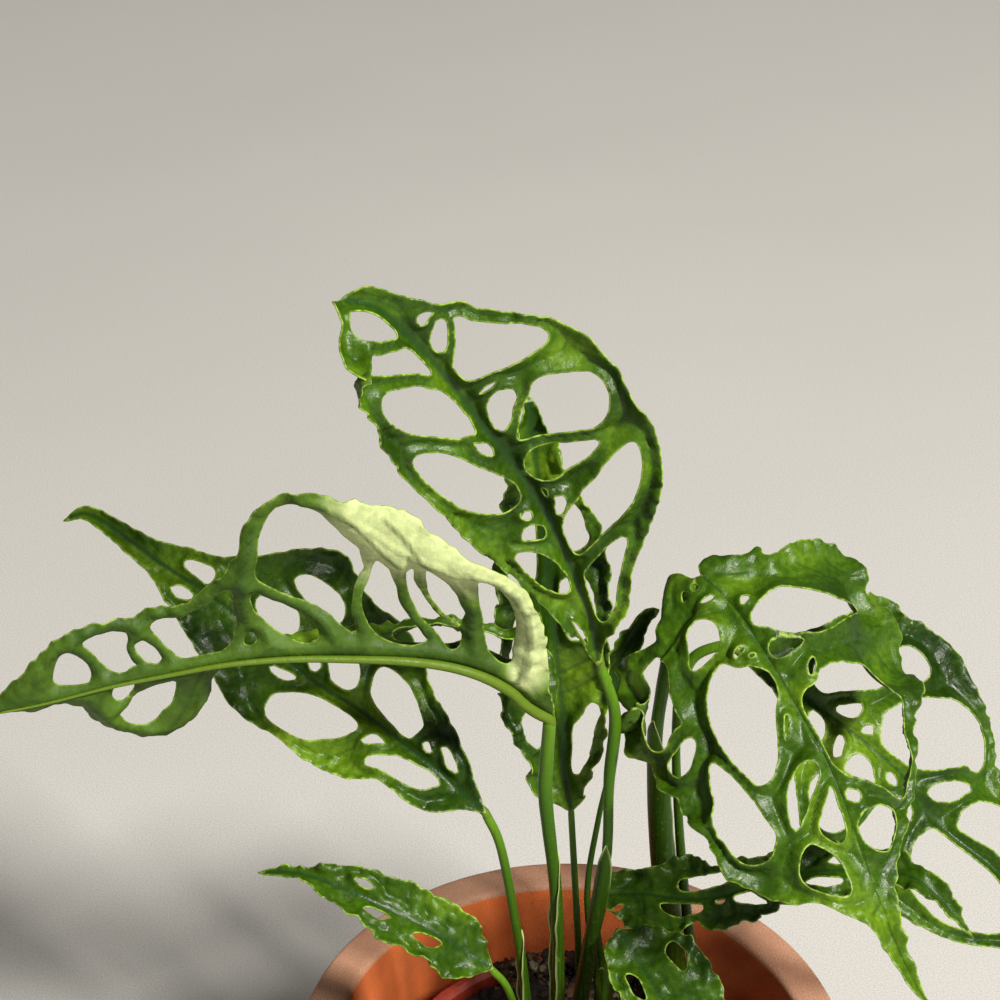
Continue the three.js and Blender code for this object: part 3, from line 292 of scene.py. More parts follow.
LEAVES["nodding"] = LeafPlan(
    rib=((30, 20, 277), (35, 14, 276), (41, 6, 272), (51, -8, 261), (60, -22, 250), (69, -36, 231),
        (79, -48, 210), (86, -52, 200)),
    face=((-0.2, -0.5, 0.9), (0.1, -0.4, 0.9), (0.5, -0.6, 0.7)),
    half=36,
    lift=((-5, -10), (-10, -15)),
    curl=((-40, -30), (-40, -40)),
    wave=(1.2, 15, 0.8),
    habit=LACIEST,
    left=((0, 0), (-1.6, 0.8), (-3, 2), (-3.5, 4.9), (-2.6, 7.4), (-0.6, 9.2), (1, 10.6), (2.6, 13.4),
        (2.4, 16.4), (3.6, 17.2), (4.8, 16.4), (6.2, 18), (6, 22), (6, 27.4), (7, 34.4), (9, 40.5),
        (13, 43), (17.5, 42), (21, 42.2), (30, 44), (38, 45), (44, 42), (47.5, 38.2), (49.5, 36.2),
        (51.5, 34.2), (54.5, 33.4), (59, 29.4), (62.5, 27.2), (68, 26.6), (72.5, 24.6), (77, 19.5),
        (83, 12), (89, 6), (97, 3), (108, 2), (123, 0)),
    right=((0, 0), (-1, 1.4), (-2.6, 2.4), (-5, 3), (-7, 4.6), (-7.2, 7), (-6.2, 9.6), (-4.8, 11.6),
        (-2.8, 14.3), (-1, 17.6), (0.3, 19.8), (-1, 23.1), (-4, 27.1), (-6.6, 30.6), (-6.4, 34.2),
        (-4, 37.5), (-1.3, 40.5), (4, 43.6), (10, 45.4), (18, 46.4), (26, 46.4), (32, 45.4),
        (38.5, 43.1), (42, 39.3), (45, 38), (49, 40), (57, 37.3), (63.5, 35.8), (71, 33.8), (76, 32.1),
        (81, 27.5), (84.5, 21), (87, 14), (92, 9), (98, 5), (110, 3), (123, 0)),
    holes=(
        ((12.2, 2), (11.2, 3), (11.8, 4.6), (12.8, 4.2), (13.3, 2.2)),
        ((16, 2.4), (14.5, 4.9), (14.5, 7.9), (14.7, 11.9), (16.5, 15.4), (18.5, 20.4), (21.5, 25.4),
         (24, 30.4), (25.3, 33), (26, 26.4), (27, 19.4), (27, 14.4), (26, 9.9), (24.5, 7.4), (22.5, 4.9),
         (20, 2.9), (17.5, 2)),
        ((25.3, 1.9), (24.2, 2.6), (24, 3.9), (25.7, 7), (27.6, 10), (28.5, 8.4), (28.5, 5.4),
         (28.4, 2.9), (27.5, 1.9)),
        ((35.6, 6.2), (33.5, 7.4), (32.5, 9.2), (33.2, 9.7), (34.8, 8.9), (36.2, 7)),
        ((35.5, 10.2), (37.5, 7.6), (38.7, 4.2), (40.5, 2.6), (43, 2), (47, 1.9), (51, 1.9), (55, 2),
         (58.5, 2.4), (61.5, 3.8), (62.5, 5.9), (66, 10.9), (70, 14.9), (71.4, 17.4), (70.6, 20.2),
         (66.5, 22.4), (62, 23.2), (58, 24.4), (54, 27.8), (50, 29.2), (46, 27.9), (42, 27.4),
         (39.5, 25.4), (38, 20.4), (36.5, 15.9)),
        ((64.4, 2), (66, 4), (68, 3), (66.2, 1.6)),
        ((71, 3), (71, 6), (73, 11), (77, 12), (81, 7), (79, 3), (75, 2)),
        ((0.4, -4.4), (-0.8, -3.7), (-0.2, -2.6), (1, -2.6), (1.4, -3.5)),
        ((-0.2, -8.2), (-1.6, -6.9), (-1.4, -5.8), (0, -5.6), (0.6, -6.7)),
        ((4.5, -5.6), (4.4, -4.1), (5.2, -2.4), (6.5, -2.6), (6, -4.6)),
        ((10, -13), (8.6, -10), (10.4, -8.2), (13.5, -7.3), (16.3, -8.2), (19, -10.6), (19.9, -13.6),
         (19.2, -17.6), (15.5, -15.6)),
        ((22.8, -7.6), (22, -6.4), (21.6, -4.8), (22, -3.8), (22.9, -4.3), (23.5, -5.8), (23.8, -7.2)),
        ((24.7, -4.4), (24.4, -3.5), (25, -2.6), (25.8, -3.2), (25.6, -4.3)),
        ((23, -12.8), (23, -10.3), (25.8, -7.8), (27, -5), (30.5, -3), (35, -3.1), (42, -6.6),
         (47.5, -9.4), (51, -12.4), (53.5, -14.8), (53.8, -18), (49.5, -19.6), (45.5, -20.5),
         (40, -20.6), (34.5, -20.5), (29, -18.1), (25.5, -15.2)),
        ((41.8, -4.4), (42, -3.5), (44.5, -4.8), (47, -6.8), (46, -7)),
        ((55, -7.4), (55, -4.4), (57, -3.8), (60.5, -5.6), (63, -8.4), (66, -11.3), (68.4, -13.6),
         (66.5, -14), (62.5, -13), (58, -10.8)),
        ((62.5, -2.6), (66, -2.6), (71, -3.1), (75, -4.2), (75.5, -5.8), (73.5, -7.6), (71, -8),
         (67.5, -6)),
        ((74, -12), (77, -8), (82, -7), (87, -8), (84, -14), (79, -16)),
        ((2.6, -22.6), (8, -23.2), (13, -23.6), (19.5, -26.8), (24, -27.2), (29.4, -27.6), (29.6, -29.4),
         (31, -32.6), (32.4, -34.6), (32, -36.6), (30.4, -37.2), (27, -36), (22, -36.2), (12, -36.6),
         (5.5, -35.1), (1.2, -30.1), (0.8, -27.6), (1.4, -24.4)),
        ((34.6, -27.9), (34.6, -31.1), (35.4, -35), (36.7, -37), (39.3, -36.2), (39.8, -33.6),
         (38.5, -30.6), (36.5, -28.3)),
        ((42.8, -25.4), (45.5, -27.4), (48, -28.7), (51, -29.4), (55.5, -30.6), (61, -32.2), (64, -32.6),
         (68, -30.4), (70.5, -29), (72.2, -27.6), (73.2, -25.6), (73.2, -22.8), (71.5, -21.1),
         (68.5, -19.4), (65.5, -20.1), (61, -21), (56, -21.2), (51.5, -21.8), (47.5, -22.6),
         (44.2, -24)),
    ),
)
LEAVES["right"] = LeafPlan(
    rib=((41, 26, 250), (57, 24, 238), (68, 22, 230), (84, 18, 217), (95, 14, 203), (111, 8, 191),
        (129, 2, 171)),
    face=((0, -0.6, 0.8), (0.3, -0.6, 0.7)),
    half=32,
    curl=((-20, -20), (-20, -20)),
    wave=(1, 18, 0),
    habit=LACY,
    left=((0, 0), (3, 3), (8, 8), (12, 12), (16.5, 16.8), (19.5, 20.8), (22.5, 25.3), (26, 29.8),
        (26.7, 35.3), (30, 39.6), (34, 40.3), (37, 37.8), (40.5, 38.3), (45, 38.8), (50.5, 39.4),
        (55, 36), (58.5, 32.6), (62.5, 31.8), (68, 32.4), (74, 28.8), (80, 25), (88, 20), (96, 15.5),
        (108, 9), (121, 0)),
    right=((0, 0), (6, 2.4), (14, 4), (20.5, 8.7), (25, 13.2), (32, 19.7), (36, 23.2), (42, 28.4),
        (50, 29.5), (60, 28), (70, 27), (84, 25), (96, 22), (107, 15), (121, 0)),
    holes=(
        ((38.5, 26.3), (40.5, 29.3), (44, 30.8), (47, 30.3), (48.5, 28.3), (48, 24.8), (45.5, 21.3),
         (42, 20.3), (39, 22.8)),
        ((25.5, 3.8), (28.5, 5.3), (32, 8.3), (36.5, 12.3), (39, 15.3), (39.5, 18.3), (36.5, 21.8),
         (30, 19.8), (24, 14.3), (21, 8.8), (22.5, 4.8)),
        ((31.5, 2.8), (34, 4.8), (36.3, 6.6), (36.8, 4.8), (36.3, 3.3), (34, 2.1), (32, 2)),
        ((40.5, 2.3), (41.4, 4), (42.4, 4.4), (43.5, 2.5), (42.3, 1.8), (41, 1.7)),
        ((45.3, 2.8), (43.9, 5.8), (43.6, 8.3), (44.5, 11.3), (46.6, 15.3), (49.5, 18.8), (55.5, 24.6),
         (57.5, 25.6), (60.5, 26.1), (64, 27.1), (68, 27), (71.3, 24.8), (74.3, 22.3), (74.3, 19.5),
         (72.3, 17.9), (68.3, 16.9), (65.3, 13.5), (61.5, 7.8), (57, 3.6), (52, 2.4), (48, 2.3)),
        ((65.5, 2.8), (65.2, 4.8), (67, 8.3), (71, 11.8), (75, 12.8), (73.8, 10.8), (73, 8.3), (71, 5.8),
         (68, 3.3)),
        ((77.5, 3.4), (77, 6.8), (79, 10.8), (82, 13.3), (86, 14.8), (92, 13), (98, 9), (101, 5),
         (97, 2.8), (90, 3.6), (85.5, 3.2), (80.5, 2.6), (78.5, 2.5)),
        ((25.8, -3.4), (26.6, -2.2), (28.8, -2.4), (30.5, -3.9), (32, -6.7), (31, -7.7), (28.2, -6.9),
         (26.4, -5.2)),
        ((36.2, -6.2), (35.7, -4), (36.6, -3.5), (38.9, -6.2), (39.2, -7.5), (37.6, -8.5)),
        ((41.2, -7.7), (41.9, -5.4), (44, -4.2), (47, -4.7), (49.5, -6.2), (51.1, -7), (48.5, -8.2),
         (45, -9.5), (42.2, -9.5)),
        ((52.7, -3.4), (54, -2.4), (56, -2.8), (57, -3.7), (55, -4.2), (53.2, -4.2)),
        ((37.5, -14), (37, -19.5), (41, -24), (49, -24.5), (53, -18), (53, -11.8), (48, -11.8),
         (43, -12.5)),
        ((59.5, -6), (57, -12), (59, -21.5), (66, -21.5), (69, -15), (68, -8), (65, -4.5)),
        ((76, -2.4), (73, -3.6), (72.4, -8.2), (73.4, -11), (75.4, -15.4), (79, -19), (90, -20),
         (101, -15), (106, -8), (98, -3.2), (86, -2.4)),
    ),
)
LEAVES["low_right"] = LeafPlan(
    rib=((6, 10, 181), (17, 8, 184), (33, 2, 188), (56, -6, 204), (77, -12, 210), (87, -18, 210),
        (99, -24, 198)),
    face=((-0.2, -0.5, 0.8), (0.1, -0.4, 0.9)),
    half=22,
    wave=(1.5, 13, 0),
    habit=FRILLED,
    left=((0, 0), (2, 4.8), (4, 5.8), (6.5, 6.4), (9.5, 6.3), (13, 5.8), (14.5, 6.3), (16, 7.8),
        (18.5, 10.3), (20.5, 10.9), (24, 11.4), (27, 10.9), (29, 9.8), (31, 8.3), (33, 7.3), (36.5, 6.6),
        (41.5, 7.3), (46, 6.4), (52, 6.3), (58, 7), (70, 6), (82, 5), (96, 3), (104, 1.5), (111, 0)),
    right=((0, 0), (2, 2.8), (5, 5.8), (6.2, 7), (8.5, 9.3), (12.5, 10.5), (17, 11.3), (21, 10.8),
        (23, 9.8), (25, 8.6), (26.2, 7.2), (28, 6.4), (30.5, 8.2), (33.5, 9.4), (36, 9.3), (38, 8.7),
        (40.5, 8.2), (43.5, 9.3), (46, 8.7), (49, 9.2), (52.5, 7.8), (58, 7.6), (66, 7), (78, 6),
        (92, 3), (102, 1.5), (111, 0)),
    holes=(
        ((21.5, 2.9), (22, 4.5), (25, 5.2), (28.5, 5.5), (32.5, 5.4), (35.5, 5.2), (38.3, 4.2),
         (38.8, 3), (35.5, 2.4), (31.5, 2.2), (29.5, 2.1), (25.5, 1.9), (23, 1.9)),
        ((32.6, -1.5), (33.5, -1.4), (35.4, -1.9), (35, -2.6), (33, -2.2)),
        ((38.2, -1.8), (39.5, -1.5), (42.5, -1.6), (43.7, -2.1), (45.5, -3.8), (47.6, -5.8),
         (44.5, -5.3), (42, -4.4), (39.2, -3.4)),
        ((18, -2.4), (20.5, -1.8), (23, -1.5), (25.5, -1.5), (28.5, -1.8), (29, -2.6), (29, -3.7),
         (28, -4.6), (25.5, -4.7), (22.5, -5), (19.5, -4.2)),
        ((3.8, -3.7), (4.7, -3.2), (7.4, -3.2), (7, -4.5), (5.6, -4.9), (4.2, -4.6)),
        ((60, -3), (64, -2), (70, -3), (66, -5)),
        ((46, 2), (50, 5), (56, 4), (54, 2)),
        ((66, 2), (72, 4), (76, 3), (72, 1.5)),
    ),
)
LEAVES["low_left"] = LeafPlan(
    rib=((-21, -12, 176), (-35, -12, 189), (-50, -10, 197), (-58, -8, 200), (-70, -4, 202),
        (-82, 0, 199)),
    face=((-0.2, -0.4, 0.9), (-0.2, -0.4, 0.9)),
    half=14,
    lift=((10, 10), (10, 10)),
    wave=(0.8, 9, 0),
    habit=FRILLED,
    left=((0, 0), (4, 4), (10, 8), (18, 9), (26, 9), (34, 9), (41, 6.5), (48, 4.5), (54, 2.4), (60, 1.3),
        (66, 0.8), (70, 0)),
    right=((0, 0), (4, 4), (10, 7), (18, 8), (28, 8), (38, 7), (46, 5.6), (52, 3.6), (57, 1.8),
        (62, 1.1), (66, 0.8), (70, 0)),
    holes=(
        ((44, -3), (42, -4), (39, -3), (41, -2)),
        ((39, 3), (36, 1.5), (32, 2), (35, 4)),
        ((25, 4), (22, 2), (17, 2), (20, 5)),
    ),
)
LEAVES["front"] = LeafPlan(
    rib=((11, -6, 184), (16, -14, 181), (22, -24, 177), (28, -38, 170), (32, -48, 161)),
    face=((-0.1, -0.3, 0.9), (0, -0.5, 0.8)),
    half=16,
    lift=((8, 8), (8, 8)),
    curl=((-20, -20), (-20, -20)),
    wave=(0.8, 10, 0),
    habit=PUCKERED,
    left=((0, 0), (3, 7), (8, 12), (16, 15), (26, 15), (36, 12), (45, 6), (51, 0)),
    right=((0, 0), (2, 5), (8, 8), (16, 9), (26, 9), (36, 7), (45, 4), (51, 0)),
    holes=(
        ((14, -3), (12, -5), (17, -6), (20, -4)),
        ((12, 7), (10, 10), (15, 11), (18, 8)),
    ),
)
LEAVES["newest"] = LeafPlan(
    rib=((10, 24, 234), (11, 26, 244), (14, 28, 251), (17, 29, 257), (21, 30, 259)),
    face=((0.2, -1, 0.4), (0.2, -1, 0.8)),
    half=5,
    lift=((30, 30), (30, 30)),
    wave=(0.3, 8, 0),
    habit=FRILLED,
    left=((0, 0), (4, 2), (10, 3.5), (18, 3.5), (24, 2), (30, 0)),
    right=((0, 0), (4, 2), (10, 3.5), (18, 3), (24, 1.5), (30, 0)),
)

STALKS: dict[str, StalkPlan] = {}
STALKS["tall"] = StalkPlan(
    way=((1, -1, 127), (2, 0, 153), (7, 0, 196), (8, 1, 208), (8, 3, 226), (9, 4, 246),
        (5.1, 5.6, 260.2)),
    radii=(1.9, 1.6, 1.4, 1.3, 1.3, 1.6, 1.3),
    sheath=SheathPlan(top=0.6, radius=2.05, open_side=(0.3, 1, 0)),
)
STALKS["arching"] = StalkPlan(
    way=((-3, -5, 127), (-4, -5, 157), (-5, -5, 193), (-8, -6, 227), (-8, -6, 238), (-7.3, -6.6, 253.2)),
    radii=(2, 1.7, 1.55, 1.55, 1.8, 1.6),
    sheath=SheathPlan(top=0.65, radius=2.2, open_side=(-1, -0.4, 0)),
)
STALKS["left"] = StalkPlan(
    way=((-11.8, -1.5, 121.5), (-12, -2, 137), (-12.5, -3, 156), (-15, -2, 180), (-19, 0, 206),
        (-23, 1.2, 217.1)),
    radii=(1.8, 1.5, 1.3, 1.2, 1.2, 1.2),
    sheath=SheathPlan(top=0.6, radius=2, open_side=(-1, -0.4, 0)),
)
STALKS["back"] = StalkPlan(
    way=((1, 4.5, 127), (2, 6, 150), (1, 6, 174), (-1, 13.1, 207.8)),
    radii=(1.3, 1, 0.9, 0.85),
)
STALKS["nodding"] = StalkPlan(
    way=((30.5, 22, 127), (28, 23, 145), (23, 24, 184), (21, 24, 219), (22, 24, 238), (24, 22, 256),
        (27, 20.4, 271.5), (30.6, 20.9, 275)),
    radii=(2.6, 2.3, 2, 1.8, 1.7, 1.7, 1.9, 1.5),
    sheath=SheathPlan(top=0.68, radius=3.4, open_side=(1, 1, 0)),
)
STALKS["right"] = StalkPlan(
    way=((37.5, 16.5, 121.5), (35.5, 20.5, 135), (31.5, 28, 160), (28, 29, 195), (26.5, 28.5, 225),
        (29, 29, 243), (36, 27.6, 249.5), (40.4, 27.1, 249)),
    radii=(1.8, 1.6, 1.5, 1.3, 1.2, 1.2, 1.5, 1.3),
)
STALKS["low_right"] = StalkPlan(
    way=((9.5, 6, 121.5), (9, 9, 145), (6, 10.2, 172), (6.4, 10.7, 179.9)),
    radii=(1.6, 1.3, 1.1, 1),
    sheath=SheathPlan(top=0.6, radius=2.1, open_side=(0, 1, 0)),
)
STALKS["low_left"] = StalkPlan(
    way=((-8, -9, 121.5), (-12, -11, 145), (-17, -12, 168), (-21.7, -11.2, 175.3)),
    radii=(1.5, 1.2, 1, 1),
)
STALKS["front"] = StalkPlan(
    way=((5, -12, 121.5), (7, -11, 150), (9, -8, 176), (11.1, -5.5, 182.8)),
    radii=(1.5, 1.2, 1, 1),
)
STALKS["newest"] = StalkPlan(
    way=((6.8, 0, 127), (7, 4.5, 150), (3.5, 7.5, 182), (6, 12, 205), (10, 20, 222), (9.8, 25, 233.8)),
    radii=(1.2, 1, 0.9, 0.8, 0.7, 0.7),
)


# Small tools


def linear(hex_colour: str) -> tuple[float, ...]:
    """Turns an sRGB hex colour into a linear one.

    Args:
        hex_colour: six hex digits.

    Returns:
        Linear red, green and blue, and a full alpha.
    """
    parts = [int(hex_colour[i : i + 2], 16) / 255 for i in (0, 2, 4)]
    return (*(c / 12.92 if c <= 0.04045 else ((c + 0.055) / 1.055) ** 2.4 for c in parts), 1.0)


def feed(tree: Tree, node: Node, feeds: Feeds) -> None:
    """Gives a node's inputs what they are to have.

    Args:
        tree: the tree it is in.
        node: the node.
        feeds: an output, a hex colour or a value for each input, by name or number.
    """
    for socket, value in feeds.items():
        if isinstance(value, Socket):
            tree.links.new(value, node.inputs[socket])
        else:
            node.inputs[socket].default_value = linear(value) if isinstance(value, str) else value


def add_node(tree: Tree, kind: str, feeds: Feeds, out: str | int = 0, **settings: object) -> Socket:
    """Adds a node to a material's tree.

    Args:
        tree: the tree it joins.
        kind: the node's type, after the words ShaderNode.
        feeds: what its inputs get, as feed takes it.
        out: which of its outputs is wanted.
        settings: its properties, and as stops a colour ramp's places and their colours or greys.

    Returns:
        The wanted output.
    """
    node = tree.nodes.new("ShaderNode" + kind)
    stops = settings.pop("stops", ())
    for name, value in settings.items():
        setattr(node, name, value)
    bar = node.color_ramp.elements if stops else ()
    while len(bar) < len(stops):
        bar.new(0.5)
    for element, (place, colour) in zip(bar, stops):
        element.position = place
        element.color = linear(colour) if isinstance(colour, str) else (colour, colour, colour, 1)
    feed(tree, node, feeds)
    return node.outputs[out]


class Mixing(Enum):
    """How a coat lies on the colour under it: over it, or darkening it as a stain does."""

    OVER = "MIX"
    STAIN = "MULTIPLY"


@dataclass(frozen=True)
class Coat:
    """A coat of colour. It covers as a number or output says, or as stops do along a value."""

    colour: str | Socket
    cover: float | Socket | Stops
    along: Socket | None = None
    mixing: Mixing = Mixing.OVER


def coated(tree: Tree, body: str | Socket, *coats: Coat) -> Socket:
    """Lays coats over a colour.

    Args:
        tree: the material's tree.
        body: the colour under them.
        coats: the coats, the lowest first.

    Returns:
        The colour that shows.
    """
    for coat in coats:
        cover = coat.cover
        if coat.along is not None:
            cover = add_node(tree, "ValToRGB", {"Fac": coat.along}, stops=coat.cover)
        feeds = {0: cover, 6: body, 7: coat.colour}
        body = add_node(tree, "Mix", feeds, 2, data_type="RGBA", blend_type=coat.mixing.value)
    return body


def new_material(name: str) -> tuple[Material, Tree, Node]:
    """Starts a material.

    Args:
        name: its name.

    Returns:
        The material, its tree and its surface shader.
    """
    material = bpy.data.materials.new(name)
    material.use_nodes = True
    return material, material.node_tree, material.node_tree.nodes["Principled BSDF"]


def catmull(points: Sequence[Point], count: int) -> Array:
    """Samples an open smooth curve through points.

    Args:
        points: the points, of any dimension.
        count: how many steps it is cut into.

    Returns:
        The samples, one row each.
    """
    p = np.asarray(points, float)
    ends = np.vstack([2 * p[0] - p[1], p, 2 * p[-1] - p[-2]])
    at = np.linspace(0, len(p) - 1, count + 1)
    i = np.minimum(at.astype(int), len(p) - 2)
    t = (at - i)[:, None]
    a, b, c, d = ends[i], ends[i + 1], ends[i + 2], ends[i + 3]
    square, cube = (2 * a - 5 * b + 4 * c - d) * t**2, (3 * b - a - 3 * c + d) * t**3
    return 0.5 * (2 * b + (c - a) * t + square + cube)


def evenly(samples: Array, step: float, closed: bool = False) -> Array:
    """Spaces points evenly along a polyline.

    Args:
        samples: the polyline's points.
        step: the spacing aimed at.
        closed: whether the last point joins the first.

    Returns:
        The new points; a closed line's last isn't its first again.
    """
    line = np.vstack([samples, samples[:1]]) if closed else samples
    run = np.concatenate([[0], np.cumsum(np.linalg.norm(np.diff(line, axis=0), axis=1))])
    count = max(3, round(run[-1] / step))
    at = np.linspace(0, run[-1], count + 1)[: -1 if closed else None]
    return np.stack([np.interp(at, run, line[:, k]) for k in range(line.shape[1])], 1)


def smooth_ring(points: Sequence[Point], step: float, cuts: int = 12) -> Array:
    """A smooth closed outline through points.

    Args:
        points: its corner points.
        step: spacing of the outline's points.
        cuts: samples between two corners.

    Returns:
        The outline's points.
    """
    p = [np.array(q, float) for q in points]
    wrapped = [p[-2], p[-1], *p, p[0], p[1]]
    whole = catmull(wrapped, (len(wrapped) - 1) * cuts)
    return evenly(whole[2 * cuts : (2 + len(p)) * cuts], step, closed=True)


def eased(values: Point, u: Array) -> Array:
    """Numbers that stand at even steps, eased between them.

    Args:
        values: the numbers.
        u: places from 0 to 1.

    Returns:
        The value at each place.
    """
    v = np.asarray(values, float)
    at = np.clip(u, 0, 1) * (len(v) - 1)
    i = np.minimum(at.astype(int), len(v) - 2)
    t = at - i
    t = t * t * (3 - 2 * t)
    return v[i] * (1 - t) + v[i + 1] * t


def rows_unit(vectors: Array) -> Array:
    """Each row made one long."""
    return vectors / np.maximum(np.linalg.norm(vectors, axis=-1, keepdims=True), 1e-12)


class Lumps(Enum):
    """The patterns of lumps on a blade: the size of a lump in mm, and where its noise starts."""

    TOOTH = (2.4, 8.8)
    NOTCH = (5, 2.2)
    BLISTER = (6, 3.1)
    PUCKER = (2.6, 7.7)
    SWAY = (14, 5.5)
    FRILL = (3.0, 1.3)
    CRIMP = (1.5, 4.4)
    VEIN = (12, 6.6)


def bumpy(flat: Array, lumps: Lumps) -> Array:
    """Smooth noise at flat places.

    Args:
        flat: the places, in mm.
        lumps: the pattern wanted.

    Returns:
        A value from about -1 to 1 at each place.
    """
    size, start = lumps.value
    tall = np.column_stack([flat, np.zeros(len(flat))])
    return np.array([noise.noise(Vector(p / size + start)) for p in tall])


def ramp(values: Array, start: float, over: float, least: float = 0.0) -> Array:
    """Rises to 1 as the values go from start to start + over, and is never below least."""
    return np.clip((values - start) / over, least, 1)


def ridge(values: Array, width: float) -> Array:
    """Falls off on both sides, from 1 where the value is 0 to about a third where it is width."""
    return np.exp(-((values / width) ** 2))


class Curve3:
    """A smooth curve in space, followed by length.

    FIRST_SIDE is the way in which a tube's first ring starts, if it isn't the curve's own way.
    """

    FIRST_SIDE: Point = (0.31, 0.95, 0.05)

    def __init__(self, points: Sequence[Point], samples: int = 400) -> None:
        """Samples the curve and its directions.

        Args:
            points: where it passes, in mm.
            samples: into how many steps it is cut.
        """
        self.samples = catmull(points, samples)
        steps = np.linalg.norm(np.diff(self.samples, axis=0), axis=1)
        self.run = np.concatenate([[0], np.cumsum(steps)])
        self.length = float(self.run[-1])
        self.directions = rows_unit(np.gradient(self.samples, axis=0))

    def at(self, s: Array) -> Array:
        """Points at lengths s."""
        return np.stack([np.interp(s, self.run, self.samples[:, k]) for k in range(3)], -1)

    def along(self, s: Array) -> Array:
        """Directions at lengths s."""
        return rows_unit(np.stack([np.interp(s, self.run, self.directions[:, k]) for k in range(3)], -1))

    def tube(self, stations: Array, radii: Array, sides: int) -> Array:
        """Lays the rings of a tube round the curve.

        Args:
            stations: lengths along it.
            radii: the radius at each station.
            sides: points to a ring.

        Returns:
            The rings, as stations by sides by three.
        """
        side = np.array(self.FIRST_SIDE)
        angles = 2 * np.pi * np.arange(sides) / sides
        rings = []
        for middle, tangent, radius in zip(self.at(stations), self.along(stations), radii):
            side = rows_unit(side - tangent * side.dot(tangent))
            other = np.cross(tangent, side)
            out = np.outer(np.cos(angles), side) + np.outer(np.sin(angles), other)
            rings.append(middle + radius * out)
        return np.array(rings)


def skin(rings: Array, start: int = 0) -> list[list[int]]:
    """Faces of a closed tube over rings.

    Args:
        rings: the rings.
        start: the number of the first vertex.

    Returns:
        Quads round the tube and a cap at each end.
    """
    count, sides = rings.shape[:2]
    faces = []
    for r in range(count - 1):
        for k in range(sides):
            a, b = start + r * sides + k, start + r * sides + (k + 1) % sides
            faces.append([a, b, b + sides, a + sides])
    last = start + (count - 1) * sides
    return [*faces, [start + k for k in range(sides)][::-1], [last + k for k in range(sides)]]


def make_object(name: str, points: Array, faces: Sequence[Sequence[int]]) -> Piece:
    """Makes a smooth-shaded mesh object from millimetres.

    Args:
        name: the object's name.
        points: its vertices, in mm.
        faces: its faces.

    Returns:
        The object, in the scene.
    """
    mesh = bpy.data.meshes.new(name)
    mesh.from_pydata((np.asarray(points) * MM).tolist(), [], [list(f) for f in faces])
    mesh.polygons.foreach_set("use_smooth", [True] * len(mesh.polygons))
    mesh.update()
    thing = bpy.data.objects.new(name, mesh)
    bpy.context.scene.collection.objects.link(thing)
    return thing


def keep_values(thing: Piece, name: str, values: Sequence[float]) -> None:
    """Stores a number at every vertex, for a material to read."""
    store = thing.data.attributes.new(name, "FLOAT", "POINT")
    store.data.foreach_set("value", np.asarray(values, np.float32))


def choose(thing: Piece) -> None:
    """Selects an object alone and makes it the active one.

    Args:
        thing: the object.
    """
    bpy.ops.object.select_all(action="DESELECT")
    thing.select_set(True)
    bpy.context.view_layer.objects.active = thing


def apply_modifier(thing: Piece, kind: str, **settings: object) -> None:
    """Adds a modifier to an object and applies it.

    Args:
        thing: the object.
        kind: the modifier's type.
        settings: its properties.
    """
    modifier = thing.modifiers.new(kind.lower(), kind)
    for name, value in settings.items():
        setattr(modifier, name, value)
    choose(thing)
    bpy.ops.object.modifier_apply(modifier=modifier.name)


def shift(thing: Piece, move: Callable[[Vector], Vector]) -> None:
    """Moves every vertex of a mesh.

    Args:
        thing: the object.
        move: takes a place in mm and gives the new one.
    """
    for vertex in thing.data.vertices:
        vertex.co = move(vertex.co / MM) * MM
    thing.data.update()


# Finishes


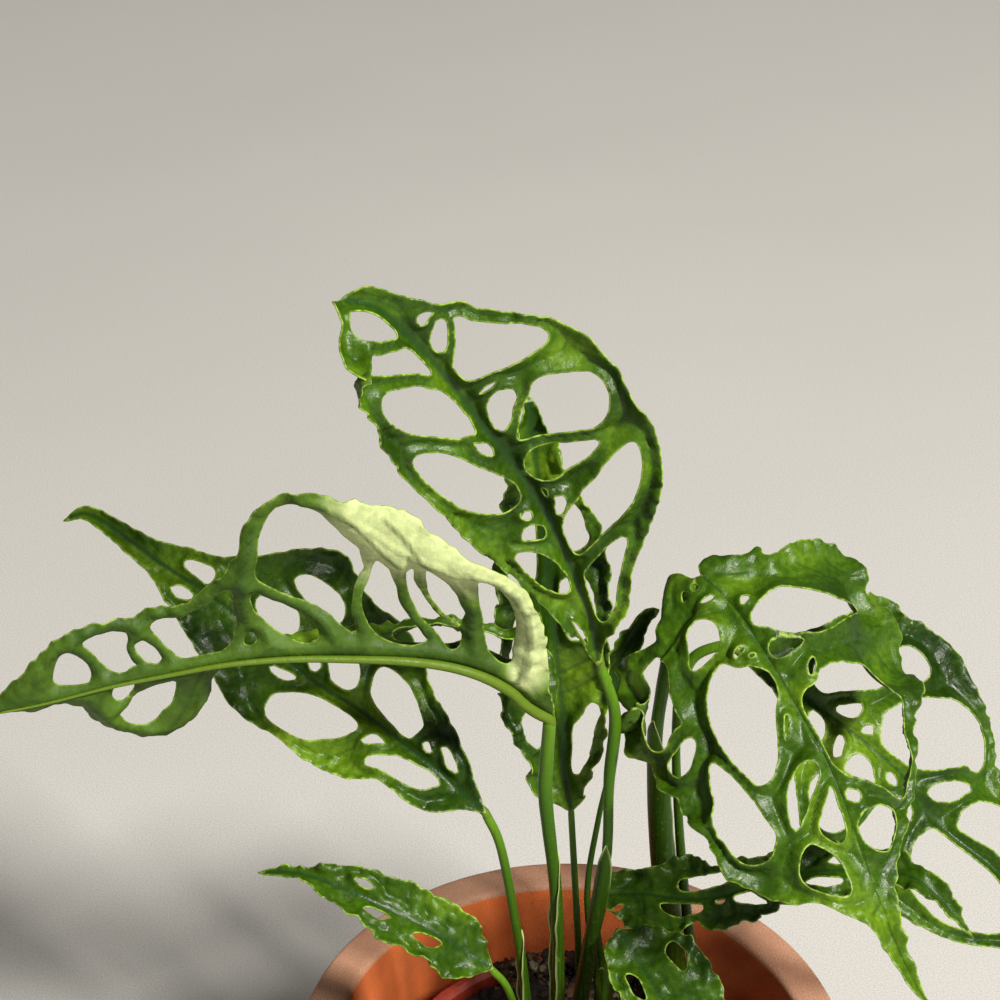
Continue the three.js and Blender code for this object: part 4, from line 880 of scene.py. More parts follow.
@dataclass(frozen=True)
class LeafFinish:
    """Living leaf, grown: a waxed deep green above, paler and duller below.

    The eye sees a soft sheen on the bulging straps and sunken veins. Painted shade darkens the veins
    and midrib above, and a painted highlight lies as a thin bright line along each hole's edge.
    blotch, speckle and pore are the sizes of its patterns in mm.
    """

    name: str = "leaf_waxed_living"
    deep: str = "1B3302"
    mid: str = "3A5A07"
    fresh: str = "70901A"
    under_deep: str = "26400A"
    under_mid: str = "4F6C18"
    # partly the underside's own pale tone, and where reach lifts it, painted light falling on and
    # through it
    under_pale: str = "B6C08A"
    # painted highlight: the bright line laid along every edge and rim
    edge: str = "A2BF4C"
    # painted shade: the dark colour laid in the sunken veins and midrib above
    groove: str = "17360A"
    midrib: str = "566E18"
    gloss: float = 0.38
    dull: float = 0.58
    specular: float = 0.22
    blotch: float = 26.316
    speckle: float = 1.6667
    pore: float = 0.5556

    def make(self) -> Material:
        """Makes the material from the side, edge, vein, rib and reach values kept on a blade.

        Returns:
            The material.
        """
        material, tree, shader = new_material(self.name)
        place = add_node(tree, "TexCoord", {}, "Object")
        side, edge, vein, rib, reach = (
            add_node(tree, "Attribute", {}, "Fac", attribute_name=name)
            for name in ("side", "edge", "vein", "rib", "reach")
        )
        broad, fleck, fine = (
            add_node(tree, "TexNoise", {"Vector": place, "Scale": 1000 / size, "Detail": detail}, "Fac")
            for size, detail in ((self.blotch, 3), (self.speckle, 4), (self.pore, 2))
        )
        # Above: deep green in soft blotches, stained by fine speckles, with painted shade darkest along
        # the sunken veins and the midrib
        stains = ((0.36, "8FA070"), (0.5, "C2CCA4"), (0.66, "FFFFE8"))
        speckles = add_node(tree, "ValToRGB", {"Fac": fleck}, stops=stains)
        greens = ((0.3, self.deep), (0.52, self.mid), (0.75, self.fresh))
        upper = coated(
            tree,
            add_node(tree, "ValToRGB", {"Fac": broad}, stops=greens),
            Coat(speckles, 0.55, mixing=Mixing.STAIN),
            Coat(self.groove, ((0.45, 0.0), (0.85, 0.6)), vein),
            Coat(self.groove, ((0.3, 0.0), (0.8, 0.8)), rib),
        )
        # Below: duller, and painted paler where reach says so, as painted light falling on it and
        # shining through
        patchy = add_node(tree, "Math", {0: broad, 1: 0.5}, operation="MULTIPLY")
        pale = add_node(tree, "Math", {0: reach, 1: 0.6, 2: patchy}, operation="MULTIPLY_ADD")
        greens = ((0.15, self.under_deep), (0.4, self.under_mid), (0.8, self.under_pale))
        under = coated(
            tree,
            add_node(tree, "ValToRGB", {"Fac": pale}, stops=greens),
            Coat(self.under_deep, ((0.25, 0.0), (0.85, 0.75)), vein),
            Coat(speckles, 0.3, mixing=Mixing.STAIN),
        )
        # Both: a painted highlight along every edge, broken up in places, and the cord of the midrib
        lip = add_node(tree, "ValToRGB", {"Fac": edge}, stops=((0.0, 0.75), (0.1, 0.3), (0.3, 0.0)))
        highlight_gaps = add_node(tree, "ValToRGB", {"Fac": fleck}, stops=((0.4, 0.25), (0.6, 1.0)))
        below = add_node(tree, "Math", {0: side, 1: 0.75}, operation="LESS_THAN")
        cord = add_node(tree, "Math", {0: rib, 1: below}, operation="MULTIPLY")
        body = coated(
            tree,
            under,
            Coat(upper, ((0.35, 0.0), (0.65, 1.0)), side),
            Coat(self.edge, add_node(tree, "Math", {0: lip, 1: highlight_gaps}, operation="MULTIPLY")),
            Coat(self.midrib, ((0.35, 0.0), (0.8, 0.9)), cord),
        )
        wax = add_node(tree, "ValToRGB", {"Fac": side}, stops=((0.4, self.dull), (0.6, self.gloss)))
        uneven = add_node(tree, "Math", {0: fleck, 1: 0.5}, operation="SUBTRACT")
        pores = add_node(tree, "Math", {0: fine, 1: 0.3}, operation="MULTIPLY")
        height = add_node(tree, "Math", {0: fleck, 1: 0.8, 2: pores}, operation="MULTIPLY_ADD")
        feeds = {
            "Base Color": body,
            "Roughness": add_node(tree, "Math", {0: uneven, 1: 0.5, 2: wax}, operation="MULTIPLY_ADD"),
            "Normal": add_node(tree, "Bump", {"Strength": 0.5, "Distance": 0.0005, "Height": height}),
            "Specular IOR Level": self.specular,
        }
        feed(tree, shader, feeds)
        return material


@dataclass(frozen=True)
class StalkFinish:
    """Living stalk, grown: the eye sees smooth waxy green skin, finely streaked lengthwise.

    streak is the width of the streaks and speckle the size of the pale flecks, in mm; stretched is
    how much longer than wide a streak is.
    """

    name: str = "stalk_waxed_living"
    deep: str = "1B3003"
    fresh: str = "345806"
    foot: str = "2B3206"
    pale: str = "557A16"
    rim: str = "A9B878"
    specular: float = 0.16
    streak: float = 0.76923
    stretched: float = 16.6667
    speckle: float = 1.1111

    def make(self) -> Material:
        """Makes the material from the rise and edge values kept on a stalk.

        Returns:
            The material.
        """
        material, tree, shader = new_material(self.name)
        place = add_node(tree, "TexCoord", {}, "Object")
        drawn = add_node(tree, "Mapping", {"Vector": place, "Scale": (1.0, 1.0, 1 / self.stretched)})
        rise, edge = (
            add_node(tree, "Attribute", {}, "Fac", attribute_name=name) for name in ("rise", "edge")
        )
        streak, fleck = (
            add_node(tree, "TexNoise", {"Vector": where, "Scale": 1000 / size, "Detail": detail}, "Fac")
            for where, size, detail in ((drawn, self.streak, 2), (place, self.speckle, 3))
        )
        greens = ((0.0, self.foot), (0.35, self.deep), (0.8, self.fresh), (1.0, self.pale))
        body = coated(
            tree,
            add_node(tree, "ValToRGB", {"Fac": rise}, stops=greens),
            Coat(self.fresh, ((0.45, 0.0), (0.75, 0.45)), streak),
            Coat(self.pale, ((0.62, 0.0), (0.7, 0.4)), fleck),
            Coat(self.rim, ((0.0, 0.9), (0.25, 0.3), (0.6, 0.0)), edge),
        )
        feeds = {
            "Base Color": body,
            "Roughness": add_node(tree, "ValToRGB", {"Fac": fleck}, stops=((0.3, 0.24), (0.8, 0.42))),
            "Normal": add_node(tree, "Bump", {"Strength": 0.3, "Distance": 0.0003, "Height": streak}),
            "Specular IOR Level": self.specular,
        }
        feed(tree, shader, feeds)
        return material


@dataclass(frozen=True)
class GrainyFinish:
    """A matt mineral, woody or moulded surface: two colours in blotches under a fine grain.

    blotch and grit are the sizes of its patches and grains in mm. lit is the colour of the grains
    that stand out: partly pale salts on them and partly a painted highlight. inner is that of the
    inner wall, where it has its own.
    """

    name: str
    dark: str
    light: str
    blotch: float
    grit: float
    roughness: float = 0.85
    relief: float = 0.5
    salt_and_glint: str | None = None
    inner: str | None = None

    def make(self) -> Material:
        """Makes the material; with an inner colour it reads the inner value kept on the piece.

        Returns:
            The material.
        """
        material, tree, shader = new_material(self.name)
        place = add_node(tree, "TexCoord", {}, "Object")
        broad = {"Vector": place, "Scale": 1000 / self.blotch, "Detail": 4}
        patch = add_node(tree, "TexNoise", broad, "Fac")
        fine = {"Vector": place, "Scale": 1000 / self.grit, "Detail": 5, "Roughness": 0.7}
        grain = add_node(tree, "TexNoise", fine, "Fac")
        pits = add_node(tree, "ValToRGB", {"Fac": grain}, stops=((0.3, "8C8C8C"), (0.6, "FFFFFF")))
        body = add_node(tree, "ValToRGB", {"Fac": patch}, stops=((0.3, self.dark), (0.7, self.light)))
        body = coated(tree, body, Coat(pits, 0.5, mixing=Mixing.STAIN))
        # Pale salts and a painted highlight on the grains that stand out
        if self.salt_and_glint:
            body = coated(tree, body, Coat(self.salt_and_glint, ((0.6, 0.0), (0.72, 0.6)), grain))
        if self.inner:
            inside = add_node(tree, "Attribute", {}, "Fac", attribute_name="inner")
            damp = add_node(tree, "ValToRGB", {"Fac": patch}, stops=((0.3, "9A9A9A"), (0.7, "FFFFFF")))
            wall = coated(tree, self.inner, Coat(damp, 0.5, mixing=Mixing.STAIN))
            body = coated(tree, body, Coat(wall, ((0.35, 0.0), (0.65, 1.0)), inside))
        feeds = {
            "Base Color": body,
            "Roughness": self.roughness,
            "Normal": add_node(
                tree, "Bump", {"Strength": self.relief, "Distance": 0.0006, "Height": grain}
            ),
        }
        feed(tree, shader, feeds)
        return material


@dataclass(frozen=True)
class MixFinish:
    """Damp potting mix, sifted: near-black crumbs with brown bark dust and a few pale specks."""

    name: str = "potting_mix_damp"
    black: str = "120C08"
    brown: str = "3A2618"
    tan: str = "6B4C30"
    pale: str = "9C9A7C"
    grit: float = 0.625

    def make(self) -> Material:
        """Makes the material from the shade value kept on every crumb.

        Returns:
            The material.
        """
        material, tree, shader = new_material(self.name)
        place = add_node(tree, "TexCoord", {}, "Object")
        shade = add_node(tree, "Attribute", {}, "Fac", attribute_name="shade")
        fine = {"Vector": place, "Scale": 1000 / self.grit, "Detail": 4, "Roughness": 0.7}
        grain = add_node(tree, "TexNoise", fine, "Fac")
        earths = (
            (0.0, self.black), (0.45, self.brown), (0.8, self.tan), (0.93, self.tan), (0.97, self.pale)
        )
        body = add_node(tree, "ValToRGB", {"Fac": shade}, stops=earths)
        dusty = add_node(tree, "ValToRGB", {"Fac": grain}, stops=((0.3, "6A6A6A"), (0.7, "FFFFFF")))
        feeds = {
            "Base Color": coated(tree, body, Coat(dusty, 0.7, mixing=Mixing.STAIN)),
            "Roughness": add_node(tree, "ValToRGB", {"Fac": grain}, stops=((0.3, 0.6), (0.7, 0.95))),
            "Normal": add_node(tree, "Bump", {"Strength": 0.7, "Distance": 0.0006, "Height": grain}),
        }
        feed(tree, shader, feeds)
        return material


# The parts of the plant


@dataclass
class Part:
    """A piece of the plant or its pots: its name, the CAD node it stands for, its slot and finish."""

    name: str
    node: str
    slot: str
    finish: Material

    def build(self) -> Piece:
        """Makes the mesh; every kind of part has its own way."""
        raise NotImplementedError

    def dress(self, piece: Piece) -> None:
        """Gives the mesh its finish and hands it over to the frame.

        Args:
            piece: the mesh that build made.
        """
        piece.data.materials.append(self.finish)
        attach(piece, "root")
        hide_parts(self.node)


class LeafForm:
    """The bent surface of a leaf, before its straps are cupped.

    RIGHT_START is how much later the right half's ruffle starts, LEAST_BEND how little a flat half
    bends to a mm, and NEAR how far off its neighbours lie that tell a place's direction.
    """

    RIGHT_START: float = 1.9
    LEAST_BEND: float = 1e-6
    NEAR: float = 0.4

    def __init__(self, plan: LeafPlan) -> None:
        """Keeps the plan and its midrib curve.

        Args:
            plan: the leaf's plan.
        """
        self.plan = plan
        self.rib = Curve3(plan.rib)
        self.length = self.rib.length

    def at(self, flat: Array) -> Array:
        """Brings flat places into space.

        Args:
            flat: rows of x along the midrib and y across it.

        Returns:
            Their places, in mm.
        """
        x, y = flat[:, 0], flat[:, 1]
        u = np.clip(x / self.length, 0, 1)
        along = self.rib.along(u * self.length)
        origin = self.rib.at(u * self.length) + along * (x - u * self.length)[:, None]
        face = np.asarray(self.plan.face, float)
        step = u * (len(face) - 1)
        i = np.minimum(step.astype(int), len(face) - 2)
        facing = face[i] + (face[i + 1] - face[i]) * (step - i)[:, None]
        across = rows_unit(np.cross(facing, along))
        upper = np.cross(along, across)
        # Each half rises at its lift and bends on as an arc; a flat half is an arc that hardly bends
        left = y >= 0
        lift, curl = (
            np.radians(np.where(left, eased(both[0], u), eased(both[1], u)))
            for both in (self.plan.lift, self.plan.curl)
        )
        bend = curl / self.plan.half
        bend = np.where(np.abs(bend) < self.LEAST_BEND, self.LEAST_BEND, bend)
        reach = np.abs(y)
        turn = lift + bend * reach
        height, wave, start = self.plan.wave
        swing = np.sin(2 * np.pi * x / wave + start + np.where(left, 0, self.RIGHT_START))
        ruffle = height * np.minimum(reach / self.plan.half, 1.3) ** 2 * swing
        out = (np.sin(turn) - np.sin(lift)) / bend - ruffle * np.sin(turn)
        up = (np.cos(lift) - np.cos(turn)) / bend + ruffle * np.cos(turn)
        return origin + across * (np.sign(y) * out)[:, None] + upper * up[:, None]

    def normal(self, flat: Array) -> Array:
        """Finds directions square to the upper side, halfway between both halves on the midrib.

        Args:
            flat: the places.

        Returns:
            A direction for each.
        """
        ahead = self.at(flat + [self.NEAR, 0]) - self.at(flat - [self.NEAR, 0])
        aside = self.at(flat + [0, self.NEAR]) - self.at(flat - [0, self.NEAR])
        return rows_unit(np.cross(ahead, aside))

    def looseness(self, flat: Array) -> Array:
        """Tells where the bent surface is bunched up and so has no room for relief.

        Args:
            flat: the places.

        Returns:
            1 where it is as long as the flat leaf, down to 0.1 where it is much shorter.
        """
        stretch = np.linalg.norm(self.at(flat + [0.5, 0]) - self.at(flat - [0.5, 0]), axis=1)
        return np.clip(1.6 * stretch - 0.5, 0.1, 1)


class FlatBlade:
    """A blade cut flat: fine triangles between its margins and round its holes.

    EDGE_STEP and ROW_STEP are the spacings along its edges and between its rows of points, as parts
    of the step, and MARGIN_CUTS the samples between two points of a margin. The rest is in mm:
    SEARCH_STEP spaces the points that edges are searched by, HOLE_TOOTH is how uneven the holes
    are, CLEAR how far from an edge the inner points stay, and ROOMY how wide a strap is taken to be
    where there is no other edge. RIB_ROWS are where the rows of points beside the midrib lie, and
    the others begin at RIB_HALF.
    """

    EDGE_STEP: float = 0.72
    ROW_STEP: float = 0.866
    SEARCH_STEP: float = 0.25
    MARGIN_CUTS: int = 16
    HOLE_TOOTH: float = 0.3
    CLEAR: float = 0.45
    ROOMY: float = 9.0
    RIB_ROWS: Point = (0, -0.6, 0.6, -1.2, 1.2, -1.8, 1.8)
    RIB_HALF: float = 2.1

    def __init__(self, form: LeafForm, step: float) -> None:
        """Cuts the blade.

        Args:
            form: the leaf it belongs to.
            step: spacing of its inner points; its edges are EDGE_STEP times as closely spaced.
        """
        plan, length, habit = form.plan, form.length, form.plan.habit
        edge_step = self.EDGE_STEP * step
        margins = []
        for margin, sign in ((plan.left, 1), (plan.right, -1)):
            points = [(x, sign * y) for x, y in (*margin[:-1], (length, 0))]
            margins.append(catmull(points, self.MARGIN_CUTS * (len(points) - 1)))
        outline = np.vstack([margins[0], margins[1][::-1][1:-1]])
        self.loops = [evenly(outline, edge_step, closed=True)]
        self.loops += [smooth_ring(hole, edge_step) for hole in plan.holes]
        rooms = [self.room(number) for number in range(len(self.loops))]
        for number, room in enumerate(rooms):
            open_by, depth = (habit.open, self.HOLE_TOOTH) if number else (0.0, habit.tooth)
            widen = np.clip(0.3 * (room - 2.2), 0, open_by)
            depth = depth * np.clip(room / 2 - 0.4, 0, 1)
            self.loops[number] = self.nibbled(self.loops[number], widen, depth, length)
        self.outer_tree = self.tree_of(self.loops[:1])
        self.edge_tree = self.tree_of(self.loops)
        self.points, self.faces = self.triangles(length, step)

    def room(self, number: int) -> Array:
        """Finds how wide the straps beside an outline are.

        Args:
            number: the outline's place in the list.

        Returns:
            From each of its points the distance to the nearest other outline.
        """
        own = self.loops[number]
        others = [loop for k, loop in enumerate(self.loops) if k != number]
        return self.away(self.tree_of(others), own)[0] if others else np.full(len(own), self.ROOMY)

    @staticmethod
    def nibbled(loop: Array, widen: Array, depth: Array, length: float) -> Array:
        """Widens an outline and makes it uneven in its own plane, but not at the leaf's two ends.

        Args:
            loop: the outline.
            widen: how far each point is moved outwards, in mm.
            depth: how deep its unevenness is, in mm.
            length: the leaf's length.

        Returns:
            The new outline.
        """
        clear = np.clip(np.minimum(loop[:, 0], length - loop[:, 0]) / 8 - 0.3, 0, 1)
        after = np.roll(loop, -1, axis=0)
        turns = np.sign(np.sum(loop[:, 0] * after[:, 1] - loop[:, 1] * after[:, 0]))
        ahead = rows_unit(after - np.roll(loop, 1, axis=0))
        outward = turns * np.stack([ahead[:, 1], -ahead[:, 0]], 1)
        push = widen + 0.6 * depth * bumpy(loop, Lumps.TOOTH) + 0.5 * depth * bumpy(loop, Lumps.NOTCH)
        return loop + outward * (push * clear)[:, None]

    @classmethod
    def tree_of(cls, loops: Sequence[Array]) -> kdtree.KDTree:
        """Gathers closely spaced points of some outlines for searching.

        Args:
            loops: the outlines.

        Returns:
            The search tree.
        """
        points = np.vstack([evenly(loop, cls.SEARCH_STEP, closed=True) for loop in loops])
        tree = kdtree.KDTree(len(points))
        for i, (x, y) in enumerate(points):
            tree.insert((x, y, 0), i)
        tree.balance()
        return tree

    def inside(self, places: Array) -> Array:
        """Tells which places are within the outline and outside every hole.

        Args:
            places: the flat places.

        Returns:
            True for each that lies on the blade.
        """
        solid = np.ones(len(places), bool)
        px, py = places[:, 0], places[:, 1]
        for number, loop in enumerate(self.loops):
            low, high = loop.min(0), loop.max(0)
            near = (px > low[0]) & (px < high[0]) & (py > low[1]) & (py < high[1])
            x, y = px[near], py[near]
            odd = np.zeros(len(x), bool)
            for (ax, ay), (bx, by) in zip(loop, np.roll(loop, -1, axis=0)):
                crosses = (ay > y) != (by > y)
                odd ^= crosses & (x < ax + (y - ay) * (bx - ax) / (by - ay if by != ay else 1))
            within = np.zeros(len(places), bool)
            within[near] = odd
            solid &= ~within if number else within
        return solid

    def away(self, tree: kdtree.KDTree, places: Array) -> tuple[Array, Array]:
        """Measures from places to the nearest edge.

        Args:
            tree: the edges' search tree.
            places: the flat places.

        Returns:
            Their distances, and the flat directions away from the edge.
        """
        far, away = np.zeros(len(places)), np.zeros((len(places), 2))
        for i, (x, y) in enumerate(places):
            near, _, far[i] = tree.find((x, y, 0))
            away[i] = (x - near.x, y - near.y)
        return far, rows_unit(away)

    def triangles(self, length: float, step: float) -> tuple[Array, Array]:
        """Fills the blade with points, CLEAR mm from every edge, and joins them.

        Args:
            length: the midrib's length.
            step: spacing of the inner points.

        Returns:
            The points and the triangles that lie on the leaf.
        """
        low, high = self.loops[0].min(0), self.loops[0].max(0)
        grid = [
            (x + (r % 2) * step / 2, y)
            for r, y in enumerate(np.arange(low[1], high[1], step * self.ROW_STEP))
            if abs(y) > self.RIB_HALF
            for x in np.arange(low[0], high[0], step)
        ]
        rib = [(x, y) for y in self.RIB_ROWS for x in np.arange(0.4, length, step)]
        inner = np.array(grid + rib)
        inner = inner[self.inside(inner)]
        inner = inner[self.away(self.edge_tree, inner)[0] > self.CLEAR]
        points, joins = [], []
        for loop in self.loops:
            first = len(points)
            points += [Vector(p) for p in loop]
            joins += [(first + i, first + (i + 1) % len(loop)) for i in range(len(loop))]
        points += [Vector(p) for p in inner]
        made = delaunay_2d_cdt(points, joins, [], 0, 1e-6)
        flat = np.array([tuple(p) for p in made[0]])
        faces = np.array([f for f in made[2]])
        faces = faces[self.inside(flat[faces].mean(1))]
        a, b, c = (flat[faces[:, k]] for k in range(3))
        turned_over = np.cross(b - a, c - a) < 0
        faces[turned_over] = faces[turned_over][:, ::-1]
        used = np.unique(faces)
        new = np.full(len(flat), -1)
        new[used] = np.arange(len(used))
        return flat[used], new[faces]


@dataclass
class Blade(Part):
    """One leaf blade: two thin skins round its holes, cupped straps, and the midrib's cord.

    step is the spacing of its points and thickness how far apart its skins are. strap_width is how
    far from its edge a strap is still cupped, and frill_width how far in the margin is frilled.
    groove is how deep the midrib lies and groove_width how wide, crease how deep the other veins
    lie, vein_width and rib_width how wide a side vein and the midrib are coloured, and cord_step
    the spacing of the cord's rings, all in mm.
    """

    plan: LeafPlan
    stalk: StalkPlan
    step: float = 0.78
    thickness: float = 0.4
    strap_width: float = 2.8
    frill_width: float = 6.5
    groove: float = 0.5
    groove_width: float = 0.9
    crease: float = 0.55
    vein_width: float = 1.0
    rib_width: float = 0.55
    cord_step: float = 1.0
    cord_sides: int = 10

    def relief(self, cut: FlatBlade, flat: Array, edge: Array, vein: Array) -> Array:
        """How far the blade stands off its bent surface.

        Args:
            cut: the flat blade.
            flat: its points.
            edge: each point's distance from the nearest edge.
            vein: how near to a strap's middle it is.

        Returns:
            Heights in mm, towards the upper side.
        """
        habit, width = self.plan.habit, self.strap_width
        x, y = flat.T
        # Nothing but the midrib's own groove stands within a millimetre or two of the midrib
        beside = 1 - ridge(y, 1.7)
        root = ramp(x, -1, 10, least=0.1)
        cupped = np.tanh(edge / width)
        gutter = -habit.cup * width * root * (0.85 + (cupped - 0.85) * beside)
        # Every edge rolls down a little
        gutter = gutter - 0.3 * np.exp(-edge / 0.45) * beside
        blister = bumpy(flat, Lumps.BLISTER) + 0.4 * bumpy(flat, Lumps.PUCKER)
        blister = habit.blister * blister * beside
        sway = habit.sway * bumpy(flat, Lumps.SWAY) * ramp(np.abs(y), 0, 9)
        outer, _ = cut.away(cut.outer_tree, flat)
        crinkle = bumpy(flat, Lumps.FRILL) + 0.3 * bumpy(flat, Lumps.CRIMP)
        frill = habit.frill * crinkle * np.clip(1 - outer / self.frill_width, 0, 1) ** 1.3 * beside
        bulge = np.sqrt(np.clip(2 * self.from_vein(flat) / habit.gap, 0, 1)) - 1
        quilt = habit.quilt * bulge * ramp(edge, 0.8, 3) * beside
        rib = np.clip(1.1 - x / self.plan.rib_reach(), 0.2, 1)
        groove = -self.groove * rib * root * ridge(y, self.groove_width)
        crease = -self.crease * vein * ramp(edge, 0.9, 1) * beside
        return gutter + blister + sway + frill + quilt + groove + crease

    def side_veins(self, flat: Array, edge: Array) -> Array:
        """Veins that slant from the midrib to the margin across the wide places.

        Args:
            flat: the points.
            edge: each point's distance from the nearest edge.

        Returns:
            1 on a vein, down to 0 beside it.
        """
        return ridge(self.from_vein(flat), self.vein_width) * ramp(edge, 1.4, 1.6)

    def from_vein(self, flat: Array) -> Array:
        """Measures how far places are from the nearest side vein.

        Args:
            flat: the places.

        Returns:
            Their distances in mm, measured along the midrib.
        """
        x, y = flat.T
        reach = np.abs(y)
        slant = x - 0.55 * reach - 0.006 * reach**2 + 0.6 * bumpy(flat, Lumps.VEIN)
        gap = self.plan.habit.gap
        off = (slant + np.where(y > 0, 0, 0.45 * gap)) % gap
        return np.minimum(off, gap - off)

    def strap_veins(self, cut: FlatBlade, flat: Array) -> Array:
        """Finds each strap's vein, which runs halfway between its edges.

        Args:
            cut: the flat blade.
            flat: the places.

        Returns:
            1 where the ways to the nearest edges point all round, down to 0.
        """
        mean, look = np.zeros_like(flat), 0.7
        for turn in np.arange(6) * math.pi / 3:
            beside = flat + look * np.array([math.cos(turn), math.sin(turn)])
            mean += cut.away(cut.edge_tree, beside)[1]
        return np.clip(1 - np.linalg.norm(mean / 6, axis=1), 0, 1)

    def painted_light_mask(self, flat: Array) -> Array:
        """Tells where the underside is painted pale, as painted light falling on it and shining through:
        away from the midrib, and not at the base.

        Args:
            flat: the places.

        Returns:
            1 where it is pale, down to 0.
        """
        x, y = flat.T
        outward = y + 2.2 * np.clip(28 - x, 0, None) * (y > 0)
        reach = np.clip(outward / self.plan.half / 0.25 - 1.4, 0, 1)
        return reach * ramp(self.plan.painted_light_reach - x, 0, 10) * ramp(x, 8, 7)

    def radius_at(self, part: Array) -> Array:
        """The midrib cord's radius, from the stalk's end to the leaf's tip."""
        return 0.96 * self.stalk.radii[-1] * (1 - part) ** 1.2 + 0.28 * part

    def build(self) -> Piece:
        """Makes the blade: its upper skin, the lower one square under it, their rim and the cord.

        Returns:
            The blade, with the values that its finish reads.
        """
        form = LeafForm(self.plan)
        cut = FlatBlade(form, self.step)
        flat, faces = cut.points, cut.faces
        count = len(flat)
        edge, _ = cut.away(cut.edge_tree, flat)
        vein = self.strap_veins(cut, flat)
        height = self.relief(cut, flat, edge, vein) * form.looseness(flat)
        upper = form.at(flat) + form.normal(flat) * height[:, None]
        square = np.zeros_like(upper)
        corners = upper[faces]
        facing = np.cross(corners[:, 1] - corners[:, 0], corners[:, 2] - corners[:, 0])
        for k in range(3):
            np.add.at(square, faces[:, k], facing)
        square = rows_unit(square)
        lower = upper - square * self.thickness
        # The rim's middle row stands out a little, so that every edge is round
        ahead = {(a, b) for f in faces.tolist() for a, b in zip(f, f[1:] + f[:1])}
        rim = sorted((a, b) for a, b in ahead if (b, a) not in ahead)
        bounding = sorted({a for a, _ in rim})
        middle = {a: 2 * count + i for i, a in enumerate(bounding)}
        outward = np.zeros((count, 3))
        for a, b in rim:
            push = np.cross(upper[b] - upper[a], square[a])
            outward[a] += push
            outward[b] += push
        outward = rows_unit(outward[bounding])
        between = (upper[bounding] + lower[bounding]) / 2 + outward * 0.42 * self.thickness
        skins = faces.tolist() + (faces[:, ::-1] + count).tolist()
        for a, b in rim:
            skins.append([b, a, middle[a], middle[b]])
            skins.append([middle[b], middle[a], a + count, b + count])
        points = np.vstack([upper, lower, between])
        cord, cord_faces = self.cord(form, cut, len(points))
        thing = make_object(self.name, np.vstack([points, cord]), skins + cord_faces)
        vein = vein * ramp(6 - edge, 0, 2.5) * ramp(edge, 0, 1.2)
        vein = np.maximum(vein, 0.85 * self.side_veins(flat, edge))
        rib = ridge(flat[:, 1], self.rib_width) * ramp(flat[:, 0], 0, 1)
        # Where the underside is painted pale, as painted light
        reach = self.painted_light_mask(flat)
        # What each value is on the upper skin, the lower skin, the rim and the cord
        values = {
            "side": (1 + 0 * edge, 0 * edge, 0.5, 0.5),
            "edge": (edge, edge, 0, 5),
            "vein": (vein, vein, 0, 0),
            "rib": (rib, 0 * rib, 0, 1),
            "reach": (reach, reach, 0, 0),
        }
        for name, (above, below, on_rim, on_cord) in values.items():
            ends = np.full(len(bounding), on_rim), np.full(len(cord), on_cord)
            keep_values(thing, name, np.concatenate([above, below, *ends]))
        return thing

    def cord(self, form: LeafForm, cut: FlatBlade, first: int) -> tuple[Array, list[list[int]]]:
        """The midrib's cord under the blade, which grows out of the stalk.

        Args:
            form: the leaf.
            cut: the flat blade.
            first: the number of its first vertex.

        Returns:
            Its points and faces.
        """
        x = np.arange(4.0, form.length - 0.5, 3.0)
        flat = np.stack([x, np.zeros_like(x)], 1)
        thin = self.radius_at(x / form.length)
        edge, _ = cut.away(cut.edge_tree, flat)
        stands = self.relief(cut, flat, edge, self.strap_veins(cut, flat))
        sunk = stands - self.thickness - 0.8 * thin
        middles = form.at(flat) + form.normal(flat) * sunk[:, None]
        end = np.array(self.stalk.way[-1], float)
        behind = rows_unit(np.array(self.stalk.way[-2], float) - end)
        curve = Curve3([*(end + 2.0 * behind, end), *middles])
        stations = np.arange(0, curve.length, self.cord_step)
        radius = self.radius_at(stations / curve.length)
        radius[0] *= 0.8
        radius[-1] *= 0.4
        rings = curve.tube(stations, radius, self.cord_sides)
        return rings.reshape(-1, 3), skin(rings, first)


